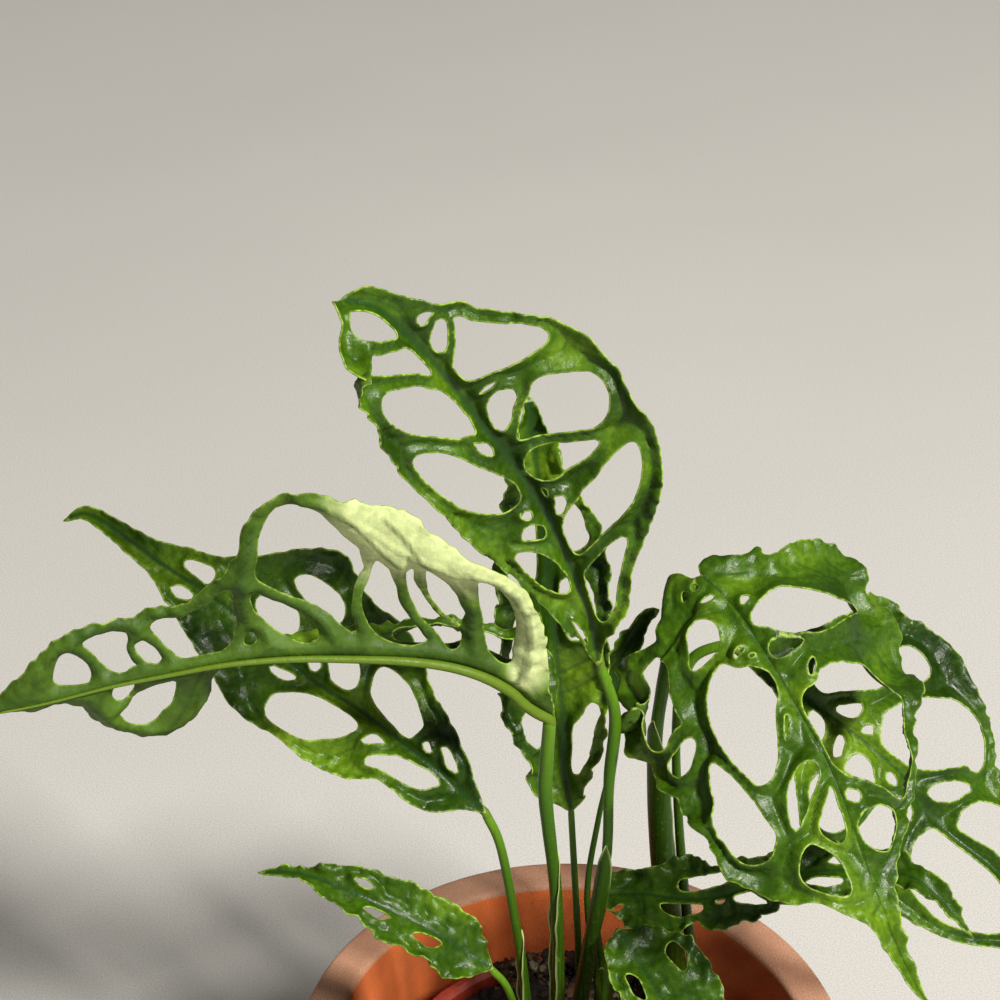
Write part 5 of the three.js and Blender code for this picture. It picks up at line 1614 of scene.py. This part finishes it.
@dataclass
class Stalk(Part):
    """A leaf stalk with the swelling under its blade and the winged sheath at its foot.

    step is the spacing of its rings and wing the thickness of its sheath, in mm, and spread how
    far the sheath wraps round to each side, in degrees.
    """

    plan: StalkPlan
    seed: float
    sides: int = 18
    step: float = 1.2
    wing: float = 0.5
    spread: float = 118.0
    sheath_steps: int = 70
    sheath_arc: int = 22
    sheath_foot: float = 0.02

    def build(self) -> Piece:
        """Makes the stalk and its sheath as one piece.

        Returns:
            The stalk, with the rise and edge values that its finish reads.
        """
        curve = Curve3(self.plan.way)
        stations = np.linspace(0, curve.length, round(curve.length / self.step))
        part = stations / curve.length
        wobble = np.array([noise.noise(Vector((s / 9, self.seed, 0))) for s in stations])
        radii = eased(self.plan.radii, part) * (1 + 0.05 * wobble)
        radii[[0, -1]] *= 0.75
        rings = curve.tube(stations, radii, self.sides)
        points, faces = [rings.reshape(-1, 3)], skin(rings)
        rise = [np.repeat(part, self.sides)]
        edge = [np.ones(len(points[0]))]
        if self.plan.sheath:
            wing, wing_faces, wing_rise, wing_edge = self.sheath(curve, len(points[0]))
            points.append(wing)
            faces += wing_faces
            rise.append(wing_rise)
            edge.append(wing_edge)
        thing = make_object(self.name, np.vstack(points), faces)
        keep_values(thing, "rise", np.concatenate(rise))
        keep_values(thing, "edge", np.concatenate(edge))
        return thing

    def sheath(
        self, curve: Curve3, first: int
    ) -> tuple[Array, list[list[int]], Array, Array]:
        """The thin sheath that wraps the stalk's foot, open on one side.

        Args:
            curve: the stalk's way.
            first: the number of its first vertex.

        Returns:
            Its points and faces, and each point's rise and distance from its free edge.
        """
        plan = self.plan.sheath
        across = np.linspace(-1, 1, self.sheath_arc + 1)
        far = np.abs(across)
        rings, rises, edges = [], [], []
        for along in np.arange(self.sheath_steps + 1) / self.sheath_steps:
            u = self.sheath_foot + (plan.top - self.sheath_foot) * along
            narrow = max(0.0, 1 - along**7) ** 0.8
            s = np.array([u * curve.length])
            middle, ahead = curve.at(s)[0], curve.along(s)[0]
            front = rows_unit(np.array(plan.open_side, float) - ahead * np.dot(plan.open_side, ahead))
            side = np.cross(ahead, front)
            stalk = float(eased(self.plan.radii, np.array([u]))[0])
            outer = plan.radius * (0.8 + 0.2 * narrow)
            middle = middle + front * (outer - stalk - 0.12)
            flutter = 0.1 * noise.noise(Vector((12 * along, 5 + self.seed, 0)))
            half = math.radians(self.spread) * max(0.05, narrow) * (1 + flutter)
            flare = 0.5 * far**5 * (0.4 + noise.noise(Vector((9 * along, 2 + self.seed, 1))))
            thin = self.wing * (1 - 0.6 * far**3)
            out = np.outer(np.cos(half * across), front) + np.outer(np.sin(half * across), side)
            outside, inside = (middle - r[:, None] * out for r in (outer + flare, outer + flare - thin))
            rings.append(np.vstack([outside, inside[::-1]]))
            rises.append(np.full(2 * len(far), u))
            clear = (1 - far) * outer * half
            edges.append(np.concatenate([clear, clear[::-1]]))
        rings = np.array(rings)
        return rings.reshape(-1, 3), skin(rings, first), np.concatenate(rises), np.concatenate(edges)


@dataclass
class Stem(Part):
    """The short stem that the stalks rise from: ringed with old leaf scars.

    foot is where it stands, bands how many slices its side is cut into, and scar how far a scar
    stands out.
    """

    foot: Point
    radius: float
    top: float = 126.4
    bottom: float = 104.0
    sides: int = 48
    bands: int = 22
    rounding: float = 0.9
    scar: float = 0.35

    def build(self) -> Piece:
        """Makes the stem from a cylinder, sliced, rounded and weathered.

        Returns:
            The stem, with the rise and edge values that its finish reads.
        """
        height = self.top - self.bottom
        middle = (self.foot[0] * MM, self.foot[1] * MM, (self.bottom + height / 2) * MM)
        bpy.ops.mesh.primitive_cylinder_add(
            vertices=self.sides, radius=self.radius * MM, depth=height * MM, location=middle
        )
        stem = bpy.context.object
        stem.name = self.name
        bpy.ops.object.transform_apply(location=True)
        bpy.ops.object.mode_set(mode="EDIT")
        for k in range(1, self.bands):
            bpy.ops.mesh.select_all(action="SELECT")
            level = (self.bottom + height * k / self.bands) * MM
            bpy.ops.mesh.bisect(plane_co=(0, 0, level), plane_no=(0, 0, 1))
        bpy.ops.object.mode_set(mode="OBJECT")
        sharp = {"limit_method": "ANGLE", "angle_limit": math.radians(40)}
        apply_modifier(stem, "BEVEL", width=self.rounding * MM, segments=3, **sharp)
        shift(stem, self.weathered)
        bpy.ops.object.shade_smooth_by_angle(angle=math.radians(50))
        # It is coloured as the stalks' feet are, a little fresher in rings
        keep_values(stem, "rise", [0.15 * abs(math.sin(v.co.z * 700)) for v in stem.data.vertices])
        keep_values(stem, "edge", [1.0] * len(stem.data.vertices))
        return stem

    def weathered(self, place: Vector) -> Vector:
        """Moves a point of the stem onto its rings and lumps.

        Args:
            place: the point, in mm.

        Returns:
            Its new place.
        """
        out = Vector((place.x - self.foot[0], place.y - self.foot[1], 0))
        if out.length < 0.3 * self.radius:
            return place
        ring = self.scar * max(0.0, math.sin(place.z * 2.1)) ** 4 + 0.3 * noise.noise(place / 3.0)
        return place + out.normalized() * (ring - 0.25)


@dataclass
class PottingMix(Part):
    """The potting mix: a lumpy mound strewn with crumbs of bark, peat and grit.

    floor and top are heights with their radii, mound how much the middle stands higher, and rim and
    rim_top the nursery pot's rim. A crumb's size is smallest and up to larger more, seldom much,
    its stretch spans its three ways, and tilt and turn are its most, in radians. Crumbs smaller
    than fine_from are plainer, and spilled more lie at the back, between the angles of spill.
    """

    floor: float = 14.1
    floor_radius: float = 34.2
    top: float = 120.0
    top_radius: float = 44.6
    mound: float = 1.3
    crumbs: int = 2600
    smallest: float = 0.45
    larger: float = 1.5
    seldom: float = 3.2
    stretch: tuple[Point, ...] = ((0.8, 1.7), (0.6, 1.1), (0.4, 0.85))
    tilt: float = 0.5
    turn: float = 6.3
    fine_from: float = 0.85
    spilled: int = 1100
    spill: Point = (30, 116)
    rim: float = 49.0
    rim_top: float = 122.9
    rings: int = 56
    sides: int = 120
    seed: int = 11

    def height(self, x: float, y: float) -> float:
        """Measures the mound's height.

        Args:
            x: a place's x, in mm.
            y: its y.

        Returns:
            The height above the pot's foot, in mm.
        """
        far = math.hypot(x, y) / self.top_radius
        lumps = 0.9 * noise.noise(Vector((x / 7, y / 7, 0.3)))
        lumps += 0.5 * noise.noise(Vector((x / 2.6, y / 2.6, 4)))
        return self.top - 0.6 + self.mound * (1 - far) + lumps * (1 - 0.6 * far**4)

    def build(self) -> Piece:
        """Makes the mound and its crumbs as one piece.

        Returns:
            The mix, with the shade value that its finish reads.
        """
        points, shades = [(0, 0, self.floor)], [0.1]
        profile = [(self.floor_radius * k / 3, self.floor) for k in (1, 2, 3)]
        rise = self.top - self.floor
        widen = self.top_radius - self.floor_radius
        profile += [(self.floor_radius + widen * k / 8, self.floor + rise * k / 8) for k in range(1, 8)]
        profile += [(self.top_radius * (1 - k / self.rings), None) for k in range(self.rings)]
        for r, z in profile:
            for k in range(self.sides):
                turn = 2 * math.pi * k / self.sides
                x, y = r * math.cos(turn), r * math.sin(turn)
                points.append((x, y, z if z is not None else self.height(x, y)))
                shades.append(0.2 + 0.25 * noise.noise(Vector((x / 3, y / 3, 9))))
        points.append((0, 0, self.height(0, 0)))
        shades.append(0.2)
        faces = []
        last = 1 + (len(profile) - 1) * self.sides
        for k in range(self.sides):
            n = (k + 1) % self.sides
            faces.append([0, 1 + n, 1 + k])
            for first in range(1, last, self.sides):
                a, b = first + k, first + n
                faces.append([a, b, b + self.sides, a + self.sides])
            faces.append([last + k, last + n, len(points) - 1])
        crumb_points, crumb_faces, crumb_shades = self.scatter(len(points))
        mix = make_object(self.name, np.vstack([points, crumb_points]), faces + crumb_faces)
        keep_values(mix, "shade", shades + crumb_shades)
        return mix

    def scatter(self, first: int) -> tuple[Array, list[list[int]], list[float]]:
        """Strews crumbs over the mound and the rim behind it.

        Args:
            first: the number of their first vertex.

        Returns:
            Their points and faces, and each point's shade from black through tan to pale.
        """
        plain, fine = self.ball(1), self.ball(2)
        dice = random.Random(self.seed)
        points, faces, shades = [], [], []
        for i in range(self.crumbs + self.spilled):
            spilt = i >= self.crumbs
            if spilt:
                far = dice.uniform(self.top_radius - 2, self.rim)
                angle = math.radians(dice.uniform(*self.spill))
            else:
                far = (self.top_radius - 1.6) * math.sqrt(dice.random())
                angle = dice.uniform(0, 2 * math.pi)
            x, y = far * math.cos(angle), far * math.sin(angle)
            size = (self.smallest + self.larger * dice.random() ** self.seldom) * (0.8 if spilt else 1)
            stretch = [dice.uniform(*span) for span in self.stretch]
            shape, shape_faces = plain if spilt or size < self.fine_from else fine
            lump = 1 + 0.22 * np.sin(shape @ np.array([3.1, 2.3, 4.2]) * 1.6 + i)
            angles = [dice.uniform(0, most) for most in (self.tilt, self.tilt, self.turn)]
            turned = np.array(Euler(angles).to_matrix())
            crumb = (shape * lump[:, None] * np.array(stretch) * size) @ turned.T
            faces += (shape_faces + first + len(shades)).tolist()
            if spilt:
                level = self.rim_top + dice.uniform(-2.5, 0.2) * (self.rim - far) / 5
            else:
                level = self.height(x, y)
            points.append(crumb + [x, y, level + 0.25 * size])
            shades += [dice.random() ** 1.2] * len(shape)
        return np.vstack(points), faces, shades

    @staticmethod
    def ball(subdivisions: int) -> tuple[Array, Array]:
        """A plain ball for crumbs to be shaped from.

        Args:
            subdivisions: how finely it is divided; 1 gives 20 faces and 2 gives 80.

        Returns:
            Its points and faces.
        """
        bpy.ops.mesh.primitive_ico_sphere_add(subdivisions=subdivisions, radius=1)
        ball = bpy.context.object
        points = np.array([v.co[:] for v in ball.data.vertices])
        faces = np.array([p.vertices[:] for p in ball.data.polygons])
        bpy.data.objects.remove(ball)
        return points, faces


@dataclass
class TurnedPot(Part):
    """A pot turned round its axis from a profile, slightly uneven as the real one is.

    profile runs from the outer foot up over the rim and down to the inner floor, as radius, height.
    drains are the radius of its drain holes, how far out they are, and their number. step is the
    spacing of its rings, unevenness and lump how far its wall wanders and over what length, and
    wall_from the radius beyond which it does. crisp is the angle, in degrees, that stays an edge.
    """

    profile: tuple[Point, ...]
    drains: tuple[float, float, int]
    step: float = 3.0
    unevenness: float = 0.25
    lump: float = 22.0
    sides: int = 160
    wall_from: float = 30.0
    drill_sides: int = 32
    drill_length: float = 60.0
    crisp: float = 42.0

    def build(self) -> Piece:
        """Makes the pot with the holes in its floor.

        Returns:
            The pot, with the inner value that its finish reads.
        """
        pot = self.turned()
        shift(pot, self.uneven)
        radius, reach, count = self.drains
        for i in range(count):
            turn = math.pi / 2 + 2 * math.pi * i / count
            where = (reach * MM * math.cos(turn), reach * MM * math.sin(turn), self.profile[0][1] * MM)
            size = {"radius": radius * MM, "depth": self.drill_length * MM}
            bpy.ops.mesh.primitive_cylinder_add(vertices=self.drill_sides, location=where, **size)
            drill = bpy.context.object
            apply_modifier(pot, "BOOLEAN", object=drill, operation="DIFFERENCE", solver="EXACT")
            bpy.data.objects.remove(drill)
        bpy.ops.object.shade_smooth_by_angle(angle=math.radians(self.crisp))
        keep_values(pot, "inner", [float(self.is_inside(v.co / MM)) for v in pot.data.vertices])
        return pot

    def turned(self) -> Piece:
        """Draws the round body up from its foot, ring by ring.

        Returns:
            The closed body.
        """
        (radius, level), *rest = self.ring_sizes()
        bpy.ops.mesh.primitive_circle_add(
            vertices=self.sides, radius=radius * MM, fill_type="TRIFAN", location=(0, 0, level * MM)
        )
        body = bpy.context.object
        body.name = self.name
        bpy.ops.object.transform_apply(location=True)
        bpy.ops.object.mode_set(mode="EDIT")
        bpy.ops.mesh.select_mode(type="EDGE")
        bpy.ops.mesh.select_all(action="SELECT")
        bpy.ops.mesh.region_to_loop()
        for next_radius, next_level in rest:
            bpy.ops.mesh.extrude_edges_move()
            bpy.ops.transform.translate(value=(0, 0, (next_level - level) * MM))
            grow = next_radius / radius
            bpy.ops.transform.resize(value=(grow, grow, 1), center_override=(0, 0, next_level * MM))
            radius, level = next_radius, next_level
        bpy.ops.mesh.extrude_edges_move()
        bpy.ops.mesh.merge(type="CENTER")
        bpy.ops.mesh.select_all(action="SELECT")
        bpy.ops.mesh.normals_make_consistent(inside=False)
        bpy.ops.mesh.select_mode(type="VERT")
        bpy.ops.object.mode_set(mode="OBJECT")
        return body

    def ring_sizes(self) -> Array:
        """Adds rings to the profile where two of its points are far apart.

        Returns:
            The radius and height of each ring.
        """
        rows = [self.profile[0]]
        for a, b in zip(self.profile, self.profile[1:]):
            count = max(1, round(math.dist(a, b) / self.step))
            rows += [tuple(np.array(a) + (np.array(b) - a) * k / count) for k in range(1, count + 1)]
        return np.array(rows)

    def is_inside(self, place: Vector) -> bool:
        """Tells whether a point is on the inner wall, below the rim.

        Args:
            place: the point, in mm.

        Returns:
            True if it is.
        """
        foot, top = self.profile[-1], max(self.profile, key=lambda p: p[1])
        wall = max(r for r, z in self.profile[self.profile.index(top) :] if z < top[1] - 1.5)
        at = (place.z - foot[1]) / (top[1] - foot[1])
        reach = foot[0] + (wall - foot[0]) * at + 2.5
        return foot[1] - 0.5 < place.z < top[1] - 0.9 and Vector((place.x, place.y)).length < reach

    def uneven(self, place: Vector) -> Vector:
        """Moves a wall's point in or out, and up or down, by a hair.

        Args:
            place: the point, in mm.

        Returns:
            Its new place.
        """
        out = Vector((place.x, place.y, 0))
        if out.length < self.wall_from:
            return place
        lift = 0.4 * self.unevenness * noise.noise(place / self.lump + Vector((9, 0, 0)))
        wander = out.normalized() * self.unevenness * noise.noise(place / self.lump)
        return place + wander + Vector((0, 0, lift))


@dataclass
class LooseBit(Part):
    """A bit that lies on the mix: its CAD shape made finer, and uneven by rough mm."""

    rough: float = 0.25

    def build(self) -> Piece:
        """Makes the bit from its node.

        Returns:
            The bit.
        """
        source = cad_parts[self.node]
        bit = bpy.data.objects.new(self.name, source.data.copy())
        bpy.context.scene.collection.objects.link(bit)
        bit.data.materials.clear()
        choose(bit)
        bpy.ops.object.mode_set(mode="EDIT")
        bpy.ops.mesh.select_all(action="SELECT")
        bpy.ops.mesh.remove_doubles(threshold=0.01 * MM)
        bpy.ops.object.mode_set(mode="OBJECT")
        apply_modifier(bit, "SUBSURF", levels=2, render_levels=2)
        middle = sum((v.co for v in bit.data.vertices), Vector()) / len(bit.data.vertices) / MM
        shift(bit, lambda p: p + (p - middle).normalized() * self.rough * noise.noise(p / 1.3))
        bit.data.shade_smooth()
        return bit


# Painted floor, matt: plain and pale, so that nothing but the soft shadows shows on it
FLOOR = GrainyFinish("floor_painted_matt", "C6C4C0", "CCCAC6", 400, 0.6, 0.9, 0.0)


@dataclass(frozen=True)
class Lamp:
    """A soft square light: where it hangs and its side, in metres, and its power in watts."""

    name: str
    place: Point
    side: float
    power: float
    tint: Point = (1.0, 0.965, 0.9)

    def hang(self, target: Point) -> None:
        """Hangs the light.

        Args:
            target: the place it faces, in metres.
        """
        data = bpy.data.lights.new(self.name, "AREA")
        data.size, data.energy, data.color = self.side, self.power, self.tint
        lamp = bpy.data.objects.new(self.name, data)
        lamp.location = self.place
        way = Vector(target) - Vector(self.place)
        lamp.rotation_euler = way.to_track_quat("-Z", "Y").to_euler()
        bpy.context.scene.collection.objects.link(lamp)


@dataclass
class Studio:
    """A pale floor, soft lights and the camera at the photograph's angle.

    eye is where the camera stands, target what the lamps face and floor_side the floor's side, in
    metres; lens and sensor are in mm, and pitch is how far down it looks, in degrees.
    """

    eye: Point = (-0.0193, -0.4792, 0.6308)
    pitch: float = 33.61
    lens: float = 90.0
    sensor: float = 36.0
    target: Point = (0, 0, 0.22)
    floor_side: float = 6.0
    sky: str = "F4F2EC"
    sky_strength: float = 0.17
    lamps: tuple[Lamp, ...] = (
        Lamp("window_key", (1.3, -1.3, 2.2), 0.4, 150),
        Lamp("window_fill", (-0.9, -0.7, 0.9), 1.2, 1.5),
    )

    def build(self) -> None:
        """Sets everything round the plant."""
        bpy.ops.mesh.primitive_plane_add(size=self.floor_side, location=(0, 0, 0))
        floor = bpy.context.object
        floor.name = "floor"
        floor.data.materials.append(FLOOR.make())
        world = bpy.data.worlds.new("studio")
        bpy.context.scene.world = world
        world.use_nodes = True
        sky = world.node_tree.nodes["Background"]
        feed(world.node_tree, sky, {"Color": self.sky, "Strength": self.sky_strength})
        for lamp in self.lamps:
            lamp.hang(self.target)
        bpy.context.scene.view_settings.view_transform = "Standard"
        data = bpy.data.cameras.new("camera")
        data.lens, data.sensor_width, data.clip_start = self.lens, self.sensor, 0.01
        camera = bpy.data.objects.new("camera", data)
        camera.location = self.eye
        camera.rotation_euler = (math.radians(90 - self.pitch), 0, 0)
        bpy.context.scene.collection.objects.link(camera)
        bpy.context.scene.camera = camera


# The whole plant


class Grit(Enum):
    """The kinds of loose bit in the mix, as their nodes and slots are called."""

    PERLITE = "perlite"
    BARK = "bark"
    PEBBLE = "pebble"


GRIT_FINISHES: dict[Grit, GrainyFinish] = {
    # Perlite, blown up by heat: bone-white crumbs with a chalky, pitted skin
    Grit.PERLITE: GrainyFinish("perlite_expanded", "9C9A80", "D8D5BE", 3, 0.5, 0.9, 0.9),
    # Pine bark, chipped: dark brown splinters with paler, fibrous breaks
    Grit.BARK: GrainyFinish("pine_bark_chipped", "2E1C10", "6B472C", 3, 0.4, 0.85, 0.9),
    # Pebble, worn by a river: grey and a little smoother than the rest
    Grit.PEBBLE: GrainyFinish("pebble_river_worn", "4E4940", "7E776A", 4, 0.5, 0.7, 0.5),
}

# Terracotta, turned and fired: matt and chalky outside with pale salts and a painted highlight on
# its raised grains, and inside, where it has stayed damp, a deeper orange
CLAY = GrainyFinish(
    "terracotta_turned_fired", "B27E60", "C79678", 16, 0.5, 0.88, 0.85, salt_and_glint="DDB99C", inner="DB7032"
)

# Polypropylene, moulded thin: brick red with a dull sheen, hardly any grain and scuffed patches
PLASTIC = GrainyFinish("polypropylene_moulded_matt", "8E2A1A", "B5402A", 14, 1.2, 0.55, 0.25)

TERRACOTTA_PROFILE = (
    (51.5, 0), (53, 1.5), (74.4, 133.6), (74.4, 134.4), (74.0, 134.85), (73.3, 135), (65.6, 135),
    (64.7, 134.8), (64.2, 134.2), (63.9, 133), (51.3, 16.5), (49.5, 13), (46, 12),
)
NURSERY_PROFILE = (
    (36, 12.3), (36.9, 13), (46.4, 118.6), (49.2, 118.2), (49.9, 119.6), (49.9, 121.4), (48.9, 122.8),
    (47, 122.9), (45.6, 121.8), (45.4, 119.5), (35.7, 15), (34.5, 13.9),
)


def list_parts() -> list[Part]:
    """Lists every piece of the plant, its mix and its pots, in the order they are made.

    Returns:
        The pieces, not yet built.
    """
    leaf, stalk = LeafFinish().make(), StalkFinish().make()
    step = Blade.step
    parts: list[Part] = [
        Blade("leaf_" + name, "blade_" + name, "blade", leaf, plan, STALKS[name], step)
        for name, plan in LEAVES.items()
    ]
    parts += [
        Stalk("stalk_" + name, "petiole_" + name, "petiole", stalk, plan, seed=3.0 * i)
        for i, (name, plan) in enumerate(STALKS.items())
    ]
    parts += [
        Stem("base_left", "stem_left", "stem", stalk, foot=(0, -1), radius=8.6),
        Stem("base_right", "stem_right", "stem", stalk, foot=(31, 21.5), radius=4.0),
        PottingMix("mix", "potting_mix", "mix", MixFinish().make()),
        TurnedPot("clay_pot", "outer_pot", "terracotta", CLAY.make(), TERRACOTTA_PROFILE, (5, 22, 3)),
        TurnedPot(
            "growing_pot",
            "nursery_pot",
            "nursery",
            PLASTIC.make(),
            NURSERY_PROFILE,
            (4, 22, 6),
            step=2.0,
            unevenness=0.6,
            lump=9.0,
        ),
    ]
    for first, grit in zip((1, 4, 7), Grit):
        finish = GRIT_FINISHES[grit].make()
        parts += [
            LooseBit(f"{grit.value}_bit_{k}", f"{grit.value}_{k}", grit.value, finish)
            for k in range(first, first + 3)
        ]
    return parts


def main() -> None:
    """Builds the plant, its mix and its pots, and the studio round them."""
    logging.basicConfig(level=logging.INFO, format="%(message)s")
    bpy.ops.object.select_all(action="DESELECT")
    for part in list_parts():
        piece = part.build()
        part.dress(piece)
        log.info("%s: %d faces for %s", piece.name, len(piece.data.polygons), part.node)
    Studio().build()


if __name__ == "__main__":
    main()
